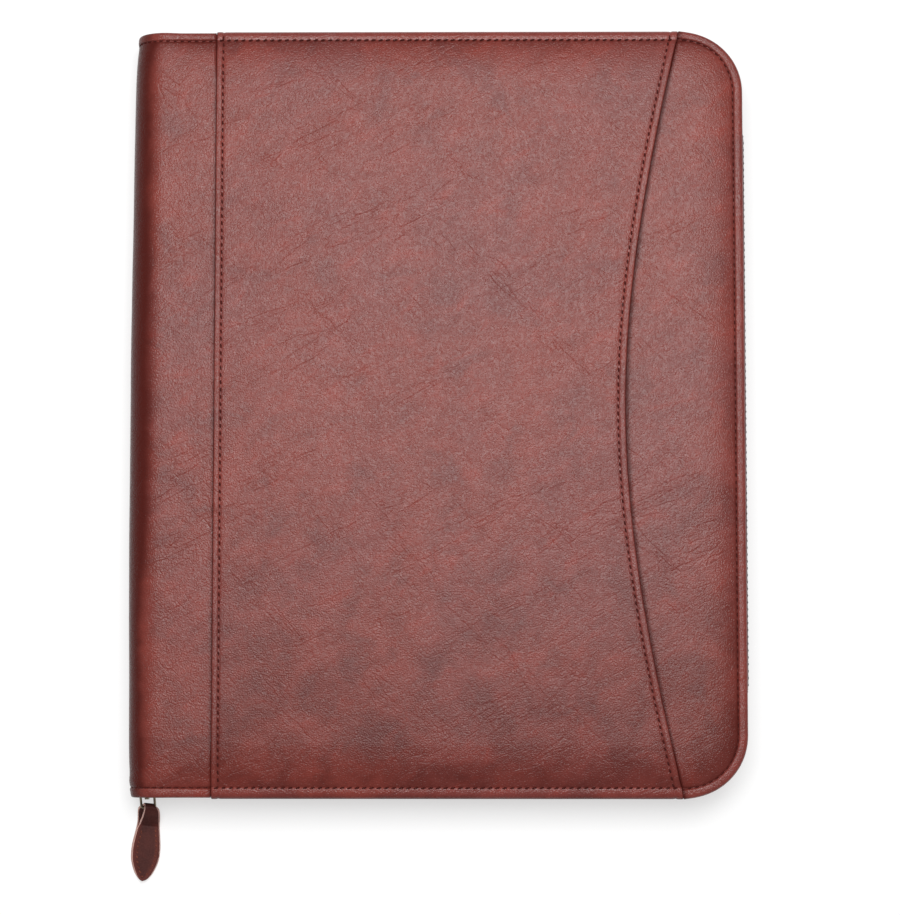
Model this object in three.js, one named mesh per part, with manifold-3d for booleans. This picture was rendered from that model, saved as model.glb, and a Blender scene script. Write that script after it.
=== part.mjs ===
// A zip-around leather document case, closed and lying on its back.
// Millimetres. X runs from the spine to the zip side, Y up the front cover, Z up from the table.
// The origin is the middle of the flat face of the back cover, where the case rests.
import * as THREE from 'three';
import { mergeVertices } from 'three/addons/utils/BufferGeometryUtils.js';
import Module from 'manifold-3d';

const wasm = await Module();
wasm.setup();

// Overall sizes of the two covers and the spine
const CASE_WIDTH = 269;
const CASE_HEIGHT = 337;
const SHELL_THICKNESS = 26.5;
const CORNER_RADIUS = 27;

// Padded covers: a full wall in the field, a stitched valley, and a rolled edge outside it
const COVER_WALL = 4;
const SPINE_WALL = 2.4;
const SPINE_BLEND = 9;
const ROLL_WIDTH = 4.2;
const ROLL_THICKNESS = 3;
const VALLEY_DEPTH = 1.9;
const PAD_FALL = 18;

// Lapped seam of the pocket panel on the spine strip
const SEAM_FROM_SPINE = 36.6;
const LAP_WIDTH = 6;

// Pocket panel and its curved mouth, measured in from the right edge at mid height and at the ends
const POCKET_LEATHER = 1.2;
const MOUTH_REACH = 52.3;
const MOUTH_END_REACH = 28;
const MOUTH_BEND = 0.8;
const HEM_WIDTH = 3.2;
const HEM_RISE = 0.45;
const POCKET_TUCK = 1;

// Zip round the three open sides
const TAPE_THICKNESS = 0.8;
const TAPE_FLANGE = 6;
const TAPE_STAND = 2;
const CHAIN_WIDTH = 5.7;
const CHAIN_THICKNESS = 2.2;
const CHAIN_INSET = 4;
const SIDE_BULGE = 4.6;
const BULGE_CENTRE = 10;
const BULGE_FLAT = 0.85;

// Slider, wire link and leather pull
const SLIDER_LENGTH = 8;
const SLIDER_WIDTH = 8.4;
const SLIDER_TAIL_WIDTH = 7;
const SLIDER_PLATE = 1;
const SLIDER_SLOT = 1.5;
const SLIDER_POST = 1.6;
const EYE_REACH = 2.5;
const EYE_SPAN = 5.4;
const EYE_BAR = 0.9;
const EYE_WIDTH = 1.6;
const WIRE_DIAMETER = 1.1;
const LINK_WIDTH = 6;
const LINK_LENGTH = 7.2;
const LINK_SLOPE = 40;
const TAB_LEATHER = 1.2;
const TAB_LENGTH = 34.3;
const TAB_WIDTH = 13;
const TAB_NECK = 4.2;
const TAB_TURN = -5.5;

// Clearances between neighbouring pieces
const SEWN_GAP = 0.3;
const RUNNING_GAP = 0.3;
const SPINE_GAP = 0.4;

// Facets of the curved parts
const CORNER_STEPS = 9;
const SPINE_STEPS = 14;
const MOUTH_STEPS = 24;
const BULGE_STEPS = 10;
const WIRE_SIDES = 8;
const WIRE_STEPS = 40;
const LOOP_STEPS = 14;
const FOLD_STEP = 0.2;

// Rolled edge of a cover, from its inner face round the outside to the stitched valley.
// inset: share of the roll's width; up: share of its thickness; tucked: how far it gives way under the pocket
const ROLL_SECTION = [
  { inset: 0.3, up: 0, tucked: 0 },
  { inset: 0.08, up: 0.12, tucked: 1 },
  { inset: 0, up: 0.38, tucked: 1 },
  { inset: 0.04, up: 0.68, tucked: 1 },
  { inset: 0.16, up: 0.88, tucked: 1 },
  { inset: 0.36, up: 0.99, tucked: 1 },
  { inset: 0.58, up: 0.98, tucked: 1 },
  { inset: 0.82, up: 0.85, tucked: 1 },
];

// Padding from the valley in to the flat field. inset: share of the fall's width; rise: share of its depth
const PAD_SECTION = [
  { inset: 0, rise: 0, tucked: 1 },
  { inset: 0.07, rise: 0.16, tucked: 0.9 },
  { inset: 0.2, rise: 0.44, tucked: 0.7 },
  { inset: 0.38, rise: 0.71, tucked: 0.45 },
  { inset: 0.65, rise: 0.92, tucked: 0.2 },
  { inset: 1, rise: 1, tucked: 0 },
];

// Hem along a folded edge. across: share of the hem's width; lift: share of its rise; the stitches sit at 1
const HEM_SECTION = [
  { across: 0, lift: -1.4 },
  { across: 0.1, lift: 0.3 },
  { across: 0.3, lift: 1 },
  { across: 0.7, lift: 0.85 },
  { across: 1, lift: -0.4 },
  { across: 1.35, lift: 0 },
];

// Outline of the leather pull, as shares of its length from the loop and of its half width
const TAB_OUTLINE = [
  { along: 0.13, half: 0.6 },
  { along: 0.17, half: 0.7 },
  { along: 0.31, half: 0.79 },
  { along: 0.42, half: 0.9 },
  { along: 0.55, half: 0.99 },
  { along: 0.65, half: 1 },
  { along: 0.74, half: 0.95 },
  { along: 0.83, half: 0.83 },
  { along: 0.9, half: 0.66 },
  { along: 0.95, half: 0.45 },
  { along: 0.98, half: 0.28 },
  { along: 0.995, half: 0.14 },
];
const TAB_GLUED_FROM = 0.29;

// Places that follow from the sizes
const MID_HEIGHT = SHELL_THICKNESS / 2;
const SPINE_CENTRE_X = -CASE_WIDTH / 2 + MID_HEIGHT;
const SEAM_X = -CASE_WIDTH / 2 + SEAM_FROM_SPINE;
const JOINT_X = SEAM_X + LAP_WIDTH;
const FIELD_INSET = ROLL_WIDTH + PAD_FALL;
const COVER_UNDERSIDE = SHELL_THICKNESS - COVER_WALL;
const CHAIN_Y = -CASE_HEIGHT / 2 + CHAIN_INSET;
const SLIDER_GAP = CHAIN_THICKNESS + 2 * RUNNING_GAP;
const SPINE_INNER_RADIUS = MID_HEIGHT - SPINE_WALL - SPINE_GAP;
const SLIDER_REACH = Math.sqrt(SPINE_INNER_RADIUS ** 2 - (SLIDER_WIDTH / 2) ** 2);
const SLIDER_X = SPINE_CENTRE_X - SLIDER_REACH + SLIDER_LENGTH / 2;
const SLIDER_FACE_Y = CHAIN_Y - SLIDER_GAP / 2 - SLIDER_PLATE;

const leatherMaterial = (color) => new THREE.MeshStandardMaterial({ color, roughness: 0.55, metalness: 0 });
const LEATHER_BROWN = 0x98665f;
const LEATHER_EDGE = 0x7d4642;
const LEATHER_PULL = 0x4c2c2a;
const TAPE_COLOUR = 0x4a2a2c;
const METAL_COLOUR = 0x4d4138;

const degrees = (angle) => angle * Math.PI / 180;
const mix = (a, b, share) => a + (b - a) * share;

function smoothStep(edge0, edge1, value) {
  const share = Math.min(Math.max((value - edge0) / (edge1 - edge0), 0), 1);
  return share * share * (3 - 2 * share);
}

// Collects the faces of one closed body
class Body {
  constructor() {
    this.points = [];
    this.faces = [];
  }

  add(point) {
    this.points.push(point);
    return this.points.length - 1;
  }

  quad(a, b, c, d) {
    this.faces.push([a, b, c], [a, c, d]);
  }

  // Fills a flat outline of point numbers, wound the way it is given; flat has their places in its plane
  fill(numbers, flat) {
    const wound = Math.sign(THREE.ShapeUtils.area(flat));
    for (const [a, b, c] of THREE.ShapeUtils.triangulateShape(flat, [])) {
      const turned = Math.sign(THREE.ShapeUtils.area([flat[a], flat[b], flat[c]])) !== wound;
      this.faces.push(turned ? [numbers[a], numbers[c], numbers[b]] : [numbers[a], numbers[b], numbers[c]]);
    }
  }

  geometry() {
    const geometry = new THREE.BufferGeometry();
    geometry.setAttribute('position', new THREE.Float32BufferAttribute(this.points.flat(), 3));
    geometry.setIndex(this.faces.flat());
    return facingOut(geometry);
  }
}

function signedVolume(geometry) {
  const position = geometry.getAttribute('position');
  const index = geometry.getIndex();
  const corner = [0, 1, 2].map(() => new THREE.Vector3());
  let volume = 0;
  for (let i = 0; i < index.count; i += 3) {
    corner.forEach((vector, k) => vector.fromBufferAttribute(position, index.getX(i + k)));
    volume += corner[0].dot(corner[1].clone().cross(corner[2])) / 6;
  }
  return volume;
}

// Consistently wound faces that point in are all turned over
function facingOut(geometry) {
  if (signedVolume(geometry) < 0) {
    geometry.setIndex(Array.from(geometry.getIndex().array).reverse());
  }
  geometry.computeVertexNormals();
  return geometry;
}

function toSolid(geometry) {
  const bare = geometry.clone();
  bare.deleteAttribute('normal');
  bare.deleteAttribute('uv');
  const welded = mergeVertices(bare, 1e-4);
  return new wasm.Manifold(new wasm.Mesh({
    numProp: 3,
    vertProperties: welded.getAttribute('position').array,
    triVerts: Uint32Array.from(welded.getIndex().array),
  }));
}

function fromSolid(solid) {
  const mesh = solid.getMesh();
  const geometry = new THREE.BufferGeometry();
  geometry.setAttribute('position', new THREE.BufferAttribute(mesh.vertProperties, 3));
  geometry.setIndex(new THREE.BufferAttribute(mesh.triVerts, 1));
  geometry.computeVertexNormals();
  return geometry;
}

// The edge of a cover as inset from the outline and height from its outer field
function coverProfile() {
  const roll = ROLL_SECTION.map(({ inset, up, tucked }) => ({
    inset: inset * ROLL_WIDTH,
    height: up * ROLL_THICKNESS - COVER_WALL,
    tucked,
  }));
  const pad = PAD_SECTION.map(({ inset, rise, tucked }) => ({
    inset: ROLL_WIDTH + inset * PAD_FALL,
    height: (rise - 1) * VALLEY_DEPTH,
    tucked,
  }));
  const innerField = { inset: FIELD_INSET, height: -COVER_WALL, tucked: 0 };
  return [innerField, ...roll, ...pad];
}

// Under the pocket the edge is thinner and set in, so that the pocket's edge lies nearly flush
function tuckedUnder({ inset, height, tucked }) {
  const thinner = 1 - tucked * POCKET_TUCK / ROLL_THICKNESS;
  return {
    inset: inset + tucked * POCKET_TUCK,
    height: (height + COVER_WALL) * thinner - COVER_WALL,
  };
}

// X of the pocket mouth's folded edge at a height up the cover: a shallow arc, straighter at its ends
function mouthX(y) {
  const up = y / (CASE_HEIGHT / 2);
  const bend = (share) => Math.hypot(1, share / MOUTH_BEND) - 1;
  return CASE_WIDTH / 2 - mix(MOUTH_REACH, MOUTH_END_REACH, bend(up) / bend(1));
}

function sideBulge(y) {
  const span = CASE_HEIGHT / 2 - CORNER_RADIUS;
  const reach = y > BULGE_CENTRE ? span - BULGE_CENTRE : span + BULGE_CENTRE;
  return 1 - smoothStep(BULGE_FLAT, 1, Math.abs(y - BULGE_CENTRE) / reach);
}

// One row of points parallel to the covers' outline: from the spine along the top edge, round the two
// corners and back along the bottom edge
function outlineRow(inset, runXs, sideSteps = 1, outward = 0) {
  const radius = Math.max(CORNER_RADIUS - inset, FOLD_STEP);
  const centreX = CASE_WIDTH / 2 - inset - radius;
  const edgeY = CASE_HEIGHT / 2 - inset;
  const centreY = edgeY - radius;
  const row = runXs.map((x) => [x, edgeY]);
  for (let i = 0; i <= CORNER_STEPS; i++) {
    const angle = degrees(90 * i / CORNER_STEPS);
    row.push([centreX + radius * Math.sin(angle), centreY + radius * Math.cos(angle)]);
  }
  for (let i = 1; i < sideSteps; i++) {
    const y = mix(centreY, -centreY, i / sideSteps);
    row.push([centreX + radius + outward * sideBulge(y), y]);
  }
  for (let i = 0; i <= CORNER_STEPS; i++) {
    const angle = degrees(90 * i / CORNER_STEPS);
    row.push([centreX + radius * Math.cos(angle), -centreY - radius * Math.sin(angle)]);
  }
  return row.concat(runXs.map((x) => [x, -edgeY]).reverse());
}

// A cover: its edge profile swept round three sides, filled inside and closed flat on the fourth
function coverBody(profile, runXsAt, place) {
  const body = new Body();
  const rows = profile.map((section) => {
    const row = outlineRow(section.inset, runXsAt(section));
    return row.map(([x, y]) => body.add(place(x, y, section)));
  });
  const flats = profile.map((section) => outlineRow(section.inset, runXsAt(section)));
  const last = rows[0].length - 1;
  const runCount = runXsAt(profile[0]).length;
  for (let k = 1; k < rows.length; k++) {
    for (let i = 0; i < last; i++) {
      body.quad(rows[k - 1][i], rows[k - 1][i + 1], rows[k][i + 1], rows[k][i]);
    }
  }
  const fillField = (row, flat, turned) => {
    const faceBody = new Body();
    for (let i = 0; i < runCount; i++) {
      faceBody.quad(row[i], row[i + 1], row[last - i - 1], row[last - i]);
    }
    const end = Array.from({ length: last + 1 - 2 * runCount }, (_, i) => i + runCount);
    faceBody.fill(end.map((i) => row[i]), end.map((i) => new THREE.Vector2(...flat[i])));
    body.faces.push(...faceBody.faces.map(([a, b, c]) => (turned ? [a, c, b] : [a, b, c])));
  };
  fillField(rows[0], flats[0], true);
  fillField(rows[rows.length - 1], flats[rows.length - 1], false);
  const topEnd = profile.map(({ inset, height }, k) => [rows[k][0], CASE_HEIGHT / 2 - inset, height]);
  const lowEnd = profile.map(({ inset, height }, k) => [rows[k][last], inset - CASE_HEIGHT / 2, height]);
  const cap = topEnd.concat(lowEnd.reverse());
  body.fill(cap.map(([number]) => number), cap.map(([, y, z]) => new THREE.Vector2(y, z)));
  return body;
}

function frontCover() {
  const underPocket = (x, y) => x < mouthX(y) + SEWN_GAP + FOLD_STEP;
  const runXsAt = ({ inset }) => {
    const beside = mouthX(CASE_HEIGHT / 2 - inset) + SEWN_GAP;
    return [JOINT_X + SEWN_GAP, beside, beside + 2 * FOLD_STEP];
  };
  const place = (x, y, section) => {
    const { inset, height } = underPocket(x, y) ? tuckedUnder(section) : section;
    const shift = inset - section.inset;
    return [x, y - Math.sign(y) * shift, SHELL_THICKNESS + height];
  };
  return coverBody(coverProfile(), runXsAt, place).geometry();
}

// The wrap is laid out flat along u: u is x on the back cover, then goes round the spine to the front strip
function spineAndBack() {
  const arcLength = Math.PI * MID_HEIGHT;
  const frontStart = SPINE_CENTRE_X - arcLength;
  const laidOut = (x) => frontStart - (x - SPINE_CENTRE_X);
  const beside = SEAM_X - SEWN_GAP;
  const stations = [JOINT_X, beside, beside - 2 * FOLD_STEP, SPINE_CENTRE_X + SPINE_BLEND].map(laidOut);
  for (let i = 0; i <= SPINE_STEPS; i++) {
    stations.push(mix(frontStart, SPINE_CENTRE_X, i / SPINE_STEPS));
  }
  stations.push(SPINE_CENTRE_X + SPINE_BLEND);
  const wallShare = (u) => {
    const away = Math.abs(u - (SPINE_CENTRE_X - arcLength / 2)) - arcLength / 2;
    return mix(SPINE_WALL / COVER_WALL, 1, smoothStep(0, SPINE_BLEND, away));
  };
  const place = (u, y, section) => {
    const lapped = u < laidOut(beside - FOLD_STEP);
    const { inset, height } = lapped ? tuckedUnder(section) : section;
    const placedY = y - Math.sign(y) * (inset - section.inset);
    const depth = height * wallShare(u);
    if (u >= SPINE_CENTRE_X) {
      return [u, placedY, -depth];
    }
    const radius = MID_HEIGHT + depth;
    const angle = Math.min((SPINE_CENTRE_X - u) / MID_HEIGHT, Math.PI);
    const beyond = Math.max(frontStart - u, 0);
    return [
      SPINE_CENTRE_X - radius * Math.sin(angle) + beyond,
      placedY,
      MID_HEIGHT - radius * Math.cos(angle),
    ];
  };
  return coverBody(coverProfile(), () => stations, place).geometry();
}

// Moves a line of [inset, height] points out from the cover by a distance
function offsetLine(line, distance) {
  return line.map(([inset, height], i) => {
    const before = line[Math.max(i - 1, 0)];
    const after = line[Math.min(i + 1, line.length - 1)];
    const along = new THREE.Vector2(after[0] - before[0], after[1] - before[1]).normalize();
    return [inset - along.y * distance, height + along.x * distance];
  });
}

// Rows of the pocket panel from its turned top end over the field to its turned bottom end
function pocketRows(distance) {
  const edge = coverProfile().slice(2).map(tuckedUnder).map(({ inset, height }) => [inset, height]);
  const side = offsetLine(edge, distance);
  const top = side.map(([inset, height]) => [CASE_HEIGHT / 2 - inset, SHELL_THICKNESS + height]);
  const low = top.map(([y, z]) => [-y, z]).reverse();
  const [fieldY, fieldZ] = top[top.length - 1];
  const field = [];
  for (let i = 1; i < MOUTH_STEPS; i++) {
    field.push([mix(fieldY, -fieldY, i / MOUTH_STEPS), fieldZ]);
  }
  return [...top, ...field, ...low];
}

function pocketPanel() {
  const inner = pocketRows(SEWN_GAP);
  const columns = [
    ...HEM_SECTION.map(({ across, lift }) => ({ fromSeam: across * HEM_WIDTH, lift: lift * HEM_RISE })),
    ...HEM_SECTION.map(({ across, lift }) => ({ fromMouth: across * HEM_WIDTH, lift: lift * HEM_RISE })).reverse(),
  ];
  const body = new Body();
  const columnX = (column, y) => {
    const reach = CASE_HEIGHT / 2;
    const mouth = mouthX(Math.min(Math.max(y, -reach), reach));
    return column.fromSeam === undefined ? mouth - column.fromMouth : SEAM_X + column.fromSeam;
  };
  const outerGrid = columns.map((column) => {
    const rows = pocketRows(SEWN_GAP + POCKET_LEATHER + column.lift);
    return rows.map(([y, z], j) => body.add([columnX(column, inner[j][0]), y, z]));
  });
  const innerGrid = columns.map((column) => inner.map(([y, z]) => body.add([columnX(column, y), y, z])));
  const lastRow = inner.length - 1;
  const lastColumn = columns.length - 1;
  for (let i = 0; i < lastColumn; i++) {
    for (let j = 0; j < lastRow; j++) {
      body.quad(outerGrid[i][j], outerGrid[i + 1][j], outerGrid[i + 1][j + 1], outerGrid[i][j + 1]);
      body.quad(innerGrid[i][j], innerGrid[i][j + 1], innerGrid[i + 1][j + 1], innerGrid[i + 1][j]);
    }
    body.quad(outerGrid[i + 1][0], outerGrid[i][0], innerGrid[i][0], innerGrid[i + 1][0]);
    body.quad(outerGrid[i][lastRow], outerGrid[i + 1][lastRow], innerGrid[i + 1][lastRow], innerGrid[i][lastRow]);
  }
  for (let j = 0; j < lastRow; j++) {
    body.quad(outerGrid[0][j], outerGrid[0][j + 1], innerGrid[0][j + 1], innerGrid[0][j]);
    const [outerEdge, innerEdge] = [outerGrid[lastColumn], innerGrid[lastColumn]];
    body.quad(outerEdge[j + 1], outerEdge[j], innerEdge[j], innerEdge[j + 1]);
  }
  return body.geometry();
}

// A closed section of { inset, z, bulge } points swept along the three open sides
function sweptBand(section, startX) {
  const body = new Body();
  const rows = section.map(({ inset, z, bulge }) => {
    const row = outlineRow(inset, [startX], BULGE_STEPS, bulge * SIDE_BULGE);
    return row.map(([x, y]) => body.add([x, y, z]));
  });
  const last = rows[0].length - 1;
  rows.forEach((row, k) => {
    const next = rows[(k + 1) % rows.length];
    for (let i = 0; i < last; i++) {
      body.quad(row[i], row[i + 1], next[i + 1], next[i]);
    }
  });
  const flat = section.map(({ inset, z }) => new THREE.Vector2(inset, z));
  body.fill(rows.map((row) => row[0]), flat);
  body.fill(rows.map((row) => row[last]).reverse(), flat.slice().reverse());
  return body.geometry();
}

// The space between the covers, up to the inside of the spine
function insideOfCase() {
  const radius = SPINE_INNER_RADIUS;
  const shape = new THREE.Shape();
  shape.moveTo(CASE_WIDTH, -radius - COVER_WALL);
  shape.lineTo(CASE_WIDTH, radius + COVER_WALL);
  shape.lineTo(SPINE_CENTRE_X + SPINE_BLEND, radius + COVER_WALL);
  shape.lineTo(SPINE_CENTRE_X + SPINE_BLEND, radius - COVER_WALL / 2);
  for (let i = 0; i <= SPINE_STEPS; i++) {
    const angle = degrees(90 + 180 * i / SPINE_STEPS);
    shape.lineTo(SPINE_CENTRE_X + radius * Math.cos(angle), radius * Math.sin(angle));
  }
  shape.lineTo(SPINE_CENTRE_X + SPINE_BLEND, -radius + COVER_WALL / 2);
  shape.lineTo(SPINE_CENTRE_X + SPINE_BLEND, -radius - COVER_WALL);
  const geometry = new THREE.ExtrudeGeometry(shape, { depth: 2 * CASE_HEIGHT, bevelEnabled: false });
  geometry.rotateX(Math.PI / 2);
  geometry.translate(0, CASE_HEIGHT, MID_HEIGHT);
  return geometry;
}

// Tape from its flange under a cover's edge, round a bend and straight down to the chain
function zipTape(side) {
  const half = TAPE_THICKNESS / 2;
  const flangeZ = COVER_UNDERSIDE - SEWN_GAP - half;
  const chainTop = MID_HEIGHT + CHAIN_WIDTH / 2 + SEWN_GAP;
  const middle = [
    { inset: CHAIN_INSET + TAPE_FLANGE, z: flangeZ, bulge: 0 },
    { inset: CHAIN_INSET + 2 * TAPE_STAND / 3, z: flangeZ, bulge: 0.05 },
    { inset: CHAIN_INSET + TAPE_STAND / 6, z: flangeZ - TAPE_STAND / 3, bulge: 0.35 },
    { inset: CHAIN_INSET, z: flangeZ - TAPE_STAND, bulge: 0.8 },
    { inset: CHAIN_INSET, z: chainTop, bulge: 1 },
  ];
  const offset = (distance) => middle.map(({ inset, z, bulge }, i) => {
    const before = middle[Math.max(i - 1, 0)];
    const after = middle[Math.min(i + 1, middle.length - 1)];
    const along = new THREE.Vector2(after.inset - before.inset, after.z - before.z).normalize();
    return { inset: inset + along.y * distance, z: z - along.x * distance, bulge };
  });
  const section = [...offset(half), ...offset(-half).reverse()].map(({ inset, z, bulge }) => ({
    inset,
    z: side > 0 ? z : SHELL_THICKNESS - z,
    bulge,
  }));
  const band = sweptBand(section, -CASE_WIDTH / 2);
  return fromSolid(toSolid(band).intersect(toSolid(insideOfCase())));
}

function zipTeeth() {
  const chamfer = CHAIN_THICKNESS / 4;
  const corner = [
    [CHAIN_THICKNESS / 2, CHAIN_WIDTH / 2 - 2 * chamfer],
    [chamfer, CHAIN_WIDTH / 2],
    [-chamfer, CHAIN_WIDTH / 2],
    [-CHAIN_THICKNESS / 2, CHAIN_WIDTH / 2 - 2 * chamfer],
  ];
  const section = [...corner, ...corner.map(([across, up]) => [-across, -up])]
    .map(([across, up]) => ({ inset: CHAIN_INSET + across, z: MID_HEIGHT + up, bulge: 1 }));
  return sweptBand(section, SLIDER_X - SLIDER_LENGTH / 2 + SLIDER_POST + 2 * RUNNING_GAP);
}

// Outline of the slider's two plates, wide at the shoulders by the spine and narrow at the tail
function sliderOutline() {
  const shape = new THREE.Shape();
  const shoulder = SLIDER_LENGTH / 4;
  shape.moveTo(-SLIDER_LENGTH / 2, -SLIDER_WIDTH / 2 + SLIDER_PLATE);
  shape.lineTo(-SLIDER_LENGTH / 2 + SLIDER_PLATE, -SLIDER_WIDTH / 2);
  shape.lineTo(-shoulder, -SLIDER_WIDTH / 2);
  shape.lineTo(SLIDER_LENGTH / 2, -SLIDER_TAIL_WIDTH / 2);
  shape.lineTo(SLIDER_LENGTH / 2, SLIDER_TAIL_WIDTH / 2);
  shape.lineTo(-shoulder, SLIDER_WIDTH / 2);
  shape.lineTo(-SLIDER_LENGTH / 2 + SLIDER_PLATE, SLIDER_WIDTH / 2);
  shape.lineTo(-SLIDER_LENGTH / 2, SLIDER_WIDTH / 2 - SLIDER_PLATE);
  return shape;
}

function extruded(shape, depth) {
  return new THREE.ExtrudeGeometry(shape, { depth, bevelEnabled: false });
}

function boxSolid(sizeX, sizeY, sizeZ, x, y, z) {
  return toSolid(new THREE.BoxGeometry(sizeX, sizeY, sizeZ).translate(x, y, z));
}

// Built with its outline in XY and its depth along Z, then turned so that the eye faces out at the bottom
function zipSlider() {
  const thickness = SLIDER_GAP + 2 * SLIDER_PLATE;
  const body = toSolid(extruded(sliderOutline(), thickness).translate(0, 0, -thickness / 2));
  const channelWidth = CHAIN_WIDTH + 2 * RUNNING_GAP;
  const channel = boxSolid(2 * SLIDER_LENGTH, channelWidth, SLIDER_GAP, 0, 0, 0);
  const tapeSlot = boxSolid(2 * SLIDER_LENGTH, 2 * SLIDER_WIDTH, SLIDER_SLOT, 0, 0, 0);
  const postX = -SLIDER_LENGTH / 2 + SLIDER_POST / 2;
  const post = boxSolid(SLIDER_POST, SLIDER_POST, thickness - SLIDER_PLATE, postX, 0, 0);
  const eyeShape = new THREE.Shape();
  const sunk = SLIDER_PLATE / 2;
  eyeShape.moveTo(-EYE_SPAN / 2, -sunk);
  eyeShape.lineTo(-EYE_SPAN / 2, EYE_REACH - EYE_BAR);
  eyeShape.lineTo(-EYE_SPAN / 2 + EYE_BAR, EYE_REACH);
  eyeShape.lineTo(EYE_SPAN / 2 - EYE_BAR, EYE_REACH);
  eyeShape.lineTo(EYE_SPAN / 2, EYE_REACH - EYE_BAR);
  eyeShape.lineTo(EYE_SPAN / 2, -sunk);
  eyeShape.lineTo(EYE_SPAN / 2 - EYE_BAR, -sunk);
  eyeShape.lineTo(EYE_SPAN / 2 - EYE_BAR, EYE_REACH - EYE_BAR);
  eyeShape.lineTo(-EYE_SPAN / 2 + EYE_BAR, EYE_REACH - EYE_BAR);
  eyeShape.lineTo(-EYE_SPAN / 2 + EYE_BAR, -sunk);
  const eye = extruded(eyeShape, EYE_WIDTH).rotateX(Math.PI / 2).rotateZ(Math.PI / 2);
  eye.translate(-EYE_WIDTH / 2, 0, thickness / 2);
  const slider = body.subtract(channel).subtract(tapeSlot).add(post).add(toSolid(eye));
  const geometry = fromSolid(slider);
  geometry.rotateX(Math.PI / 2);
  geometry.translate(SLIDER_X, CHAIN_Y, MID_HEIGHT);
  return geometry;
}

// Where the link's two bars lie: the upper one in the slider's eye, the lower one out and down the slope
function linkBars() {
  const eyeFloor = MID_HEIGHT - EYE_SPAN / 2 + EYE_BAR;
  const eyeInnerY = SLIDER_FACE_Y - EYE_REACH + EYE_BAR;
  const upper = new THREE.Vector3(
    SLIDER_X,
    eyeInnerY + WIRE_DIAMETER / 2 + RUNNING_GAP,
    eyeFloor + WIRE_DIAMETER / 2 + RUNNING_GAP,
  );
  const down = new THREE.Vector3(0, -Math.cos(degrees(LINK_SLOPE)), -Math.sin(degrees(LINK_SLOPE)));
  return { upper, lower: upper.clone().addScaledVector(down, LINK_LENGTH), down };
}

// A rounded rectangle of wire
function pullLink() {
  const { upper, down } = linkBars();
  const bend = LINK_WIDTH / 4;
  const path = new THREE.CurvePath();
  const at = (across, along) => upper.clone().addScaledVector(down, along).add(new THREE.Vector3(across, 0, 0));
  const halfWidth = LINK_WIDTH / 2;
  const corners = [
    { across: halfWidth, along: 0 },
    { across: halfWidth, along: LINK_LENGTH },
    { across: -halfWidth, along: LINK_LENGTH },
    { across: -halfWidth, along: 0 },
  ];
  corners.forEach((corner, i) => {
    const before = corners[(i + 3) % 4];
    const after = corners[(i + 1) % 4];
    const toward = (other) => {
      const far = Math.hypot(other.across - corner.across, other.along - corner.along);
      return at(
        mix(corner.across, other.across, bend / far),
        mix(corner.along, other.along, bend / far),
      );
    };
    const middle = at(corner.across, corner.along);
    path.add(new THREE.QuadraticBezierCurve3(toward(before), middle, toward(after)));
    const next = corners[(i + 1) % 4];
    const far = Math.hypot(next.across - corner.across, next.along - corner.along);
    const legEnd = at(
      mix(next.across, corner.across, bend / far),
      mix(next.along, corner.along, bend / far),
    );
    path.add(new THREE.LineCurve3(toward(after), legEnd));
  });
  const body = new Body();
  const rings = [];
  const normal = new THREE.Vector3(1, 0, 0).cross(down).normalize();
  for (let i = 0; i < WIRE_STEPS; i++) {
    const centre = path.getPointAt(i / WIRE_STEPS);
    const side = path.getTangentAt(i / WIRE_STEPS).cross(normal).normalize();
    rings.push(Array.from({ length: WIRE_SIDES }, (_, k) => {
      const angle = degrees(360 * k / WIRE_SIDES);
      const point = centre.clone()
        .addScaledVector(side, Math.cos(angle) * WIRE_DIAMETER / 2)
        .addScaledVector(normal, Math.sin(angle) * WIRE_DIAMETER / 2);
      return body.add(point.toArray());
    }));
  }
  rings.forEach((ring, i) => {
    const nextRing = rings[(i + 1) % WIRE_STEPS];
    ring.forEach((number, k) => {
      const beside = (k + 1) % WIRE_SIDES;
      body.quad(number, ring[beside], nextRing[beside], nextRing[k]);
    });
  });
  return body.geometry();
}

// Side view of the folded leather: round the link's lower bar, then down to the table and flat to the tip
function tabSideView(bar) {
  const holeRadius = WIRE_DIAMETER / 2 + RUNNING_GAP;
  const loopRadius = holeRadius + TAB_LEATHER;
  const tip = loopRadius - TAB_LENGTH;
  const gluedFrom = loopRadius - TAB_LENGTH * TAB_GLUED_FROM;
  const shape = new THREE.Shape();
  shape.moveTo(tip, 0);
  shape.lineTo(tip, 2 * TAB_LEATHER);
  shape.lineTo(gluedFrom, 2 * TAB_LEATHER);
  const arcPoint = (radius, angle) => [radius * Math.cos(angle), bar.z + radius * Math.sin(angle)];
  for (let i = 0; i <= LOOP_STEPS; i++) {
    shape.lineTo(...arcPoint(loopRadius, degrees(mix(120, -60, i / LOOP_STEPS))));
  }
  shape.lineTo(gluedFrom + TAB_LEATHER, 0);
  const hole = new THREE.Path();
  hole.moveTo(gluedFrom + TAB_LEATHER, TAB_LEATHER);
  for (let i = 0; i <= LOOP_STEPS; i++) {
    hole.lineTo(...arcPoint(holeRadius, degrees(mix(-60, 120, i / LOOP_STEPS))));
  }
  shape.holes.push(hole);
  return shape;
}

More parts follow.
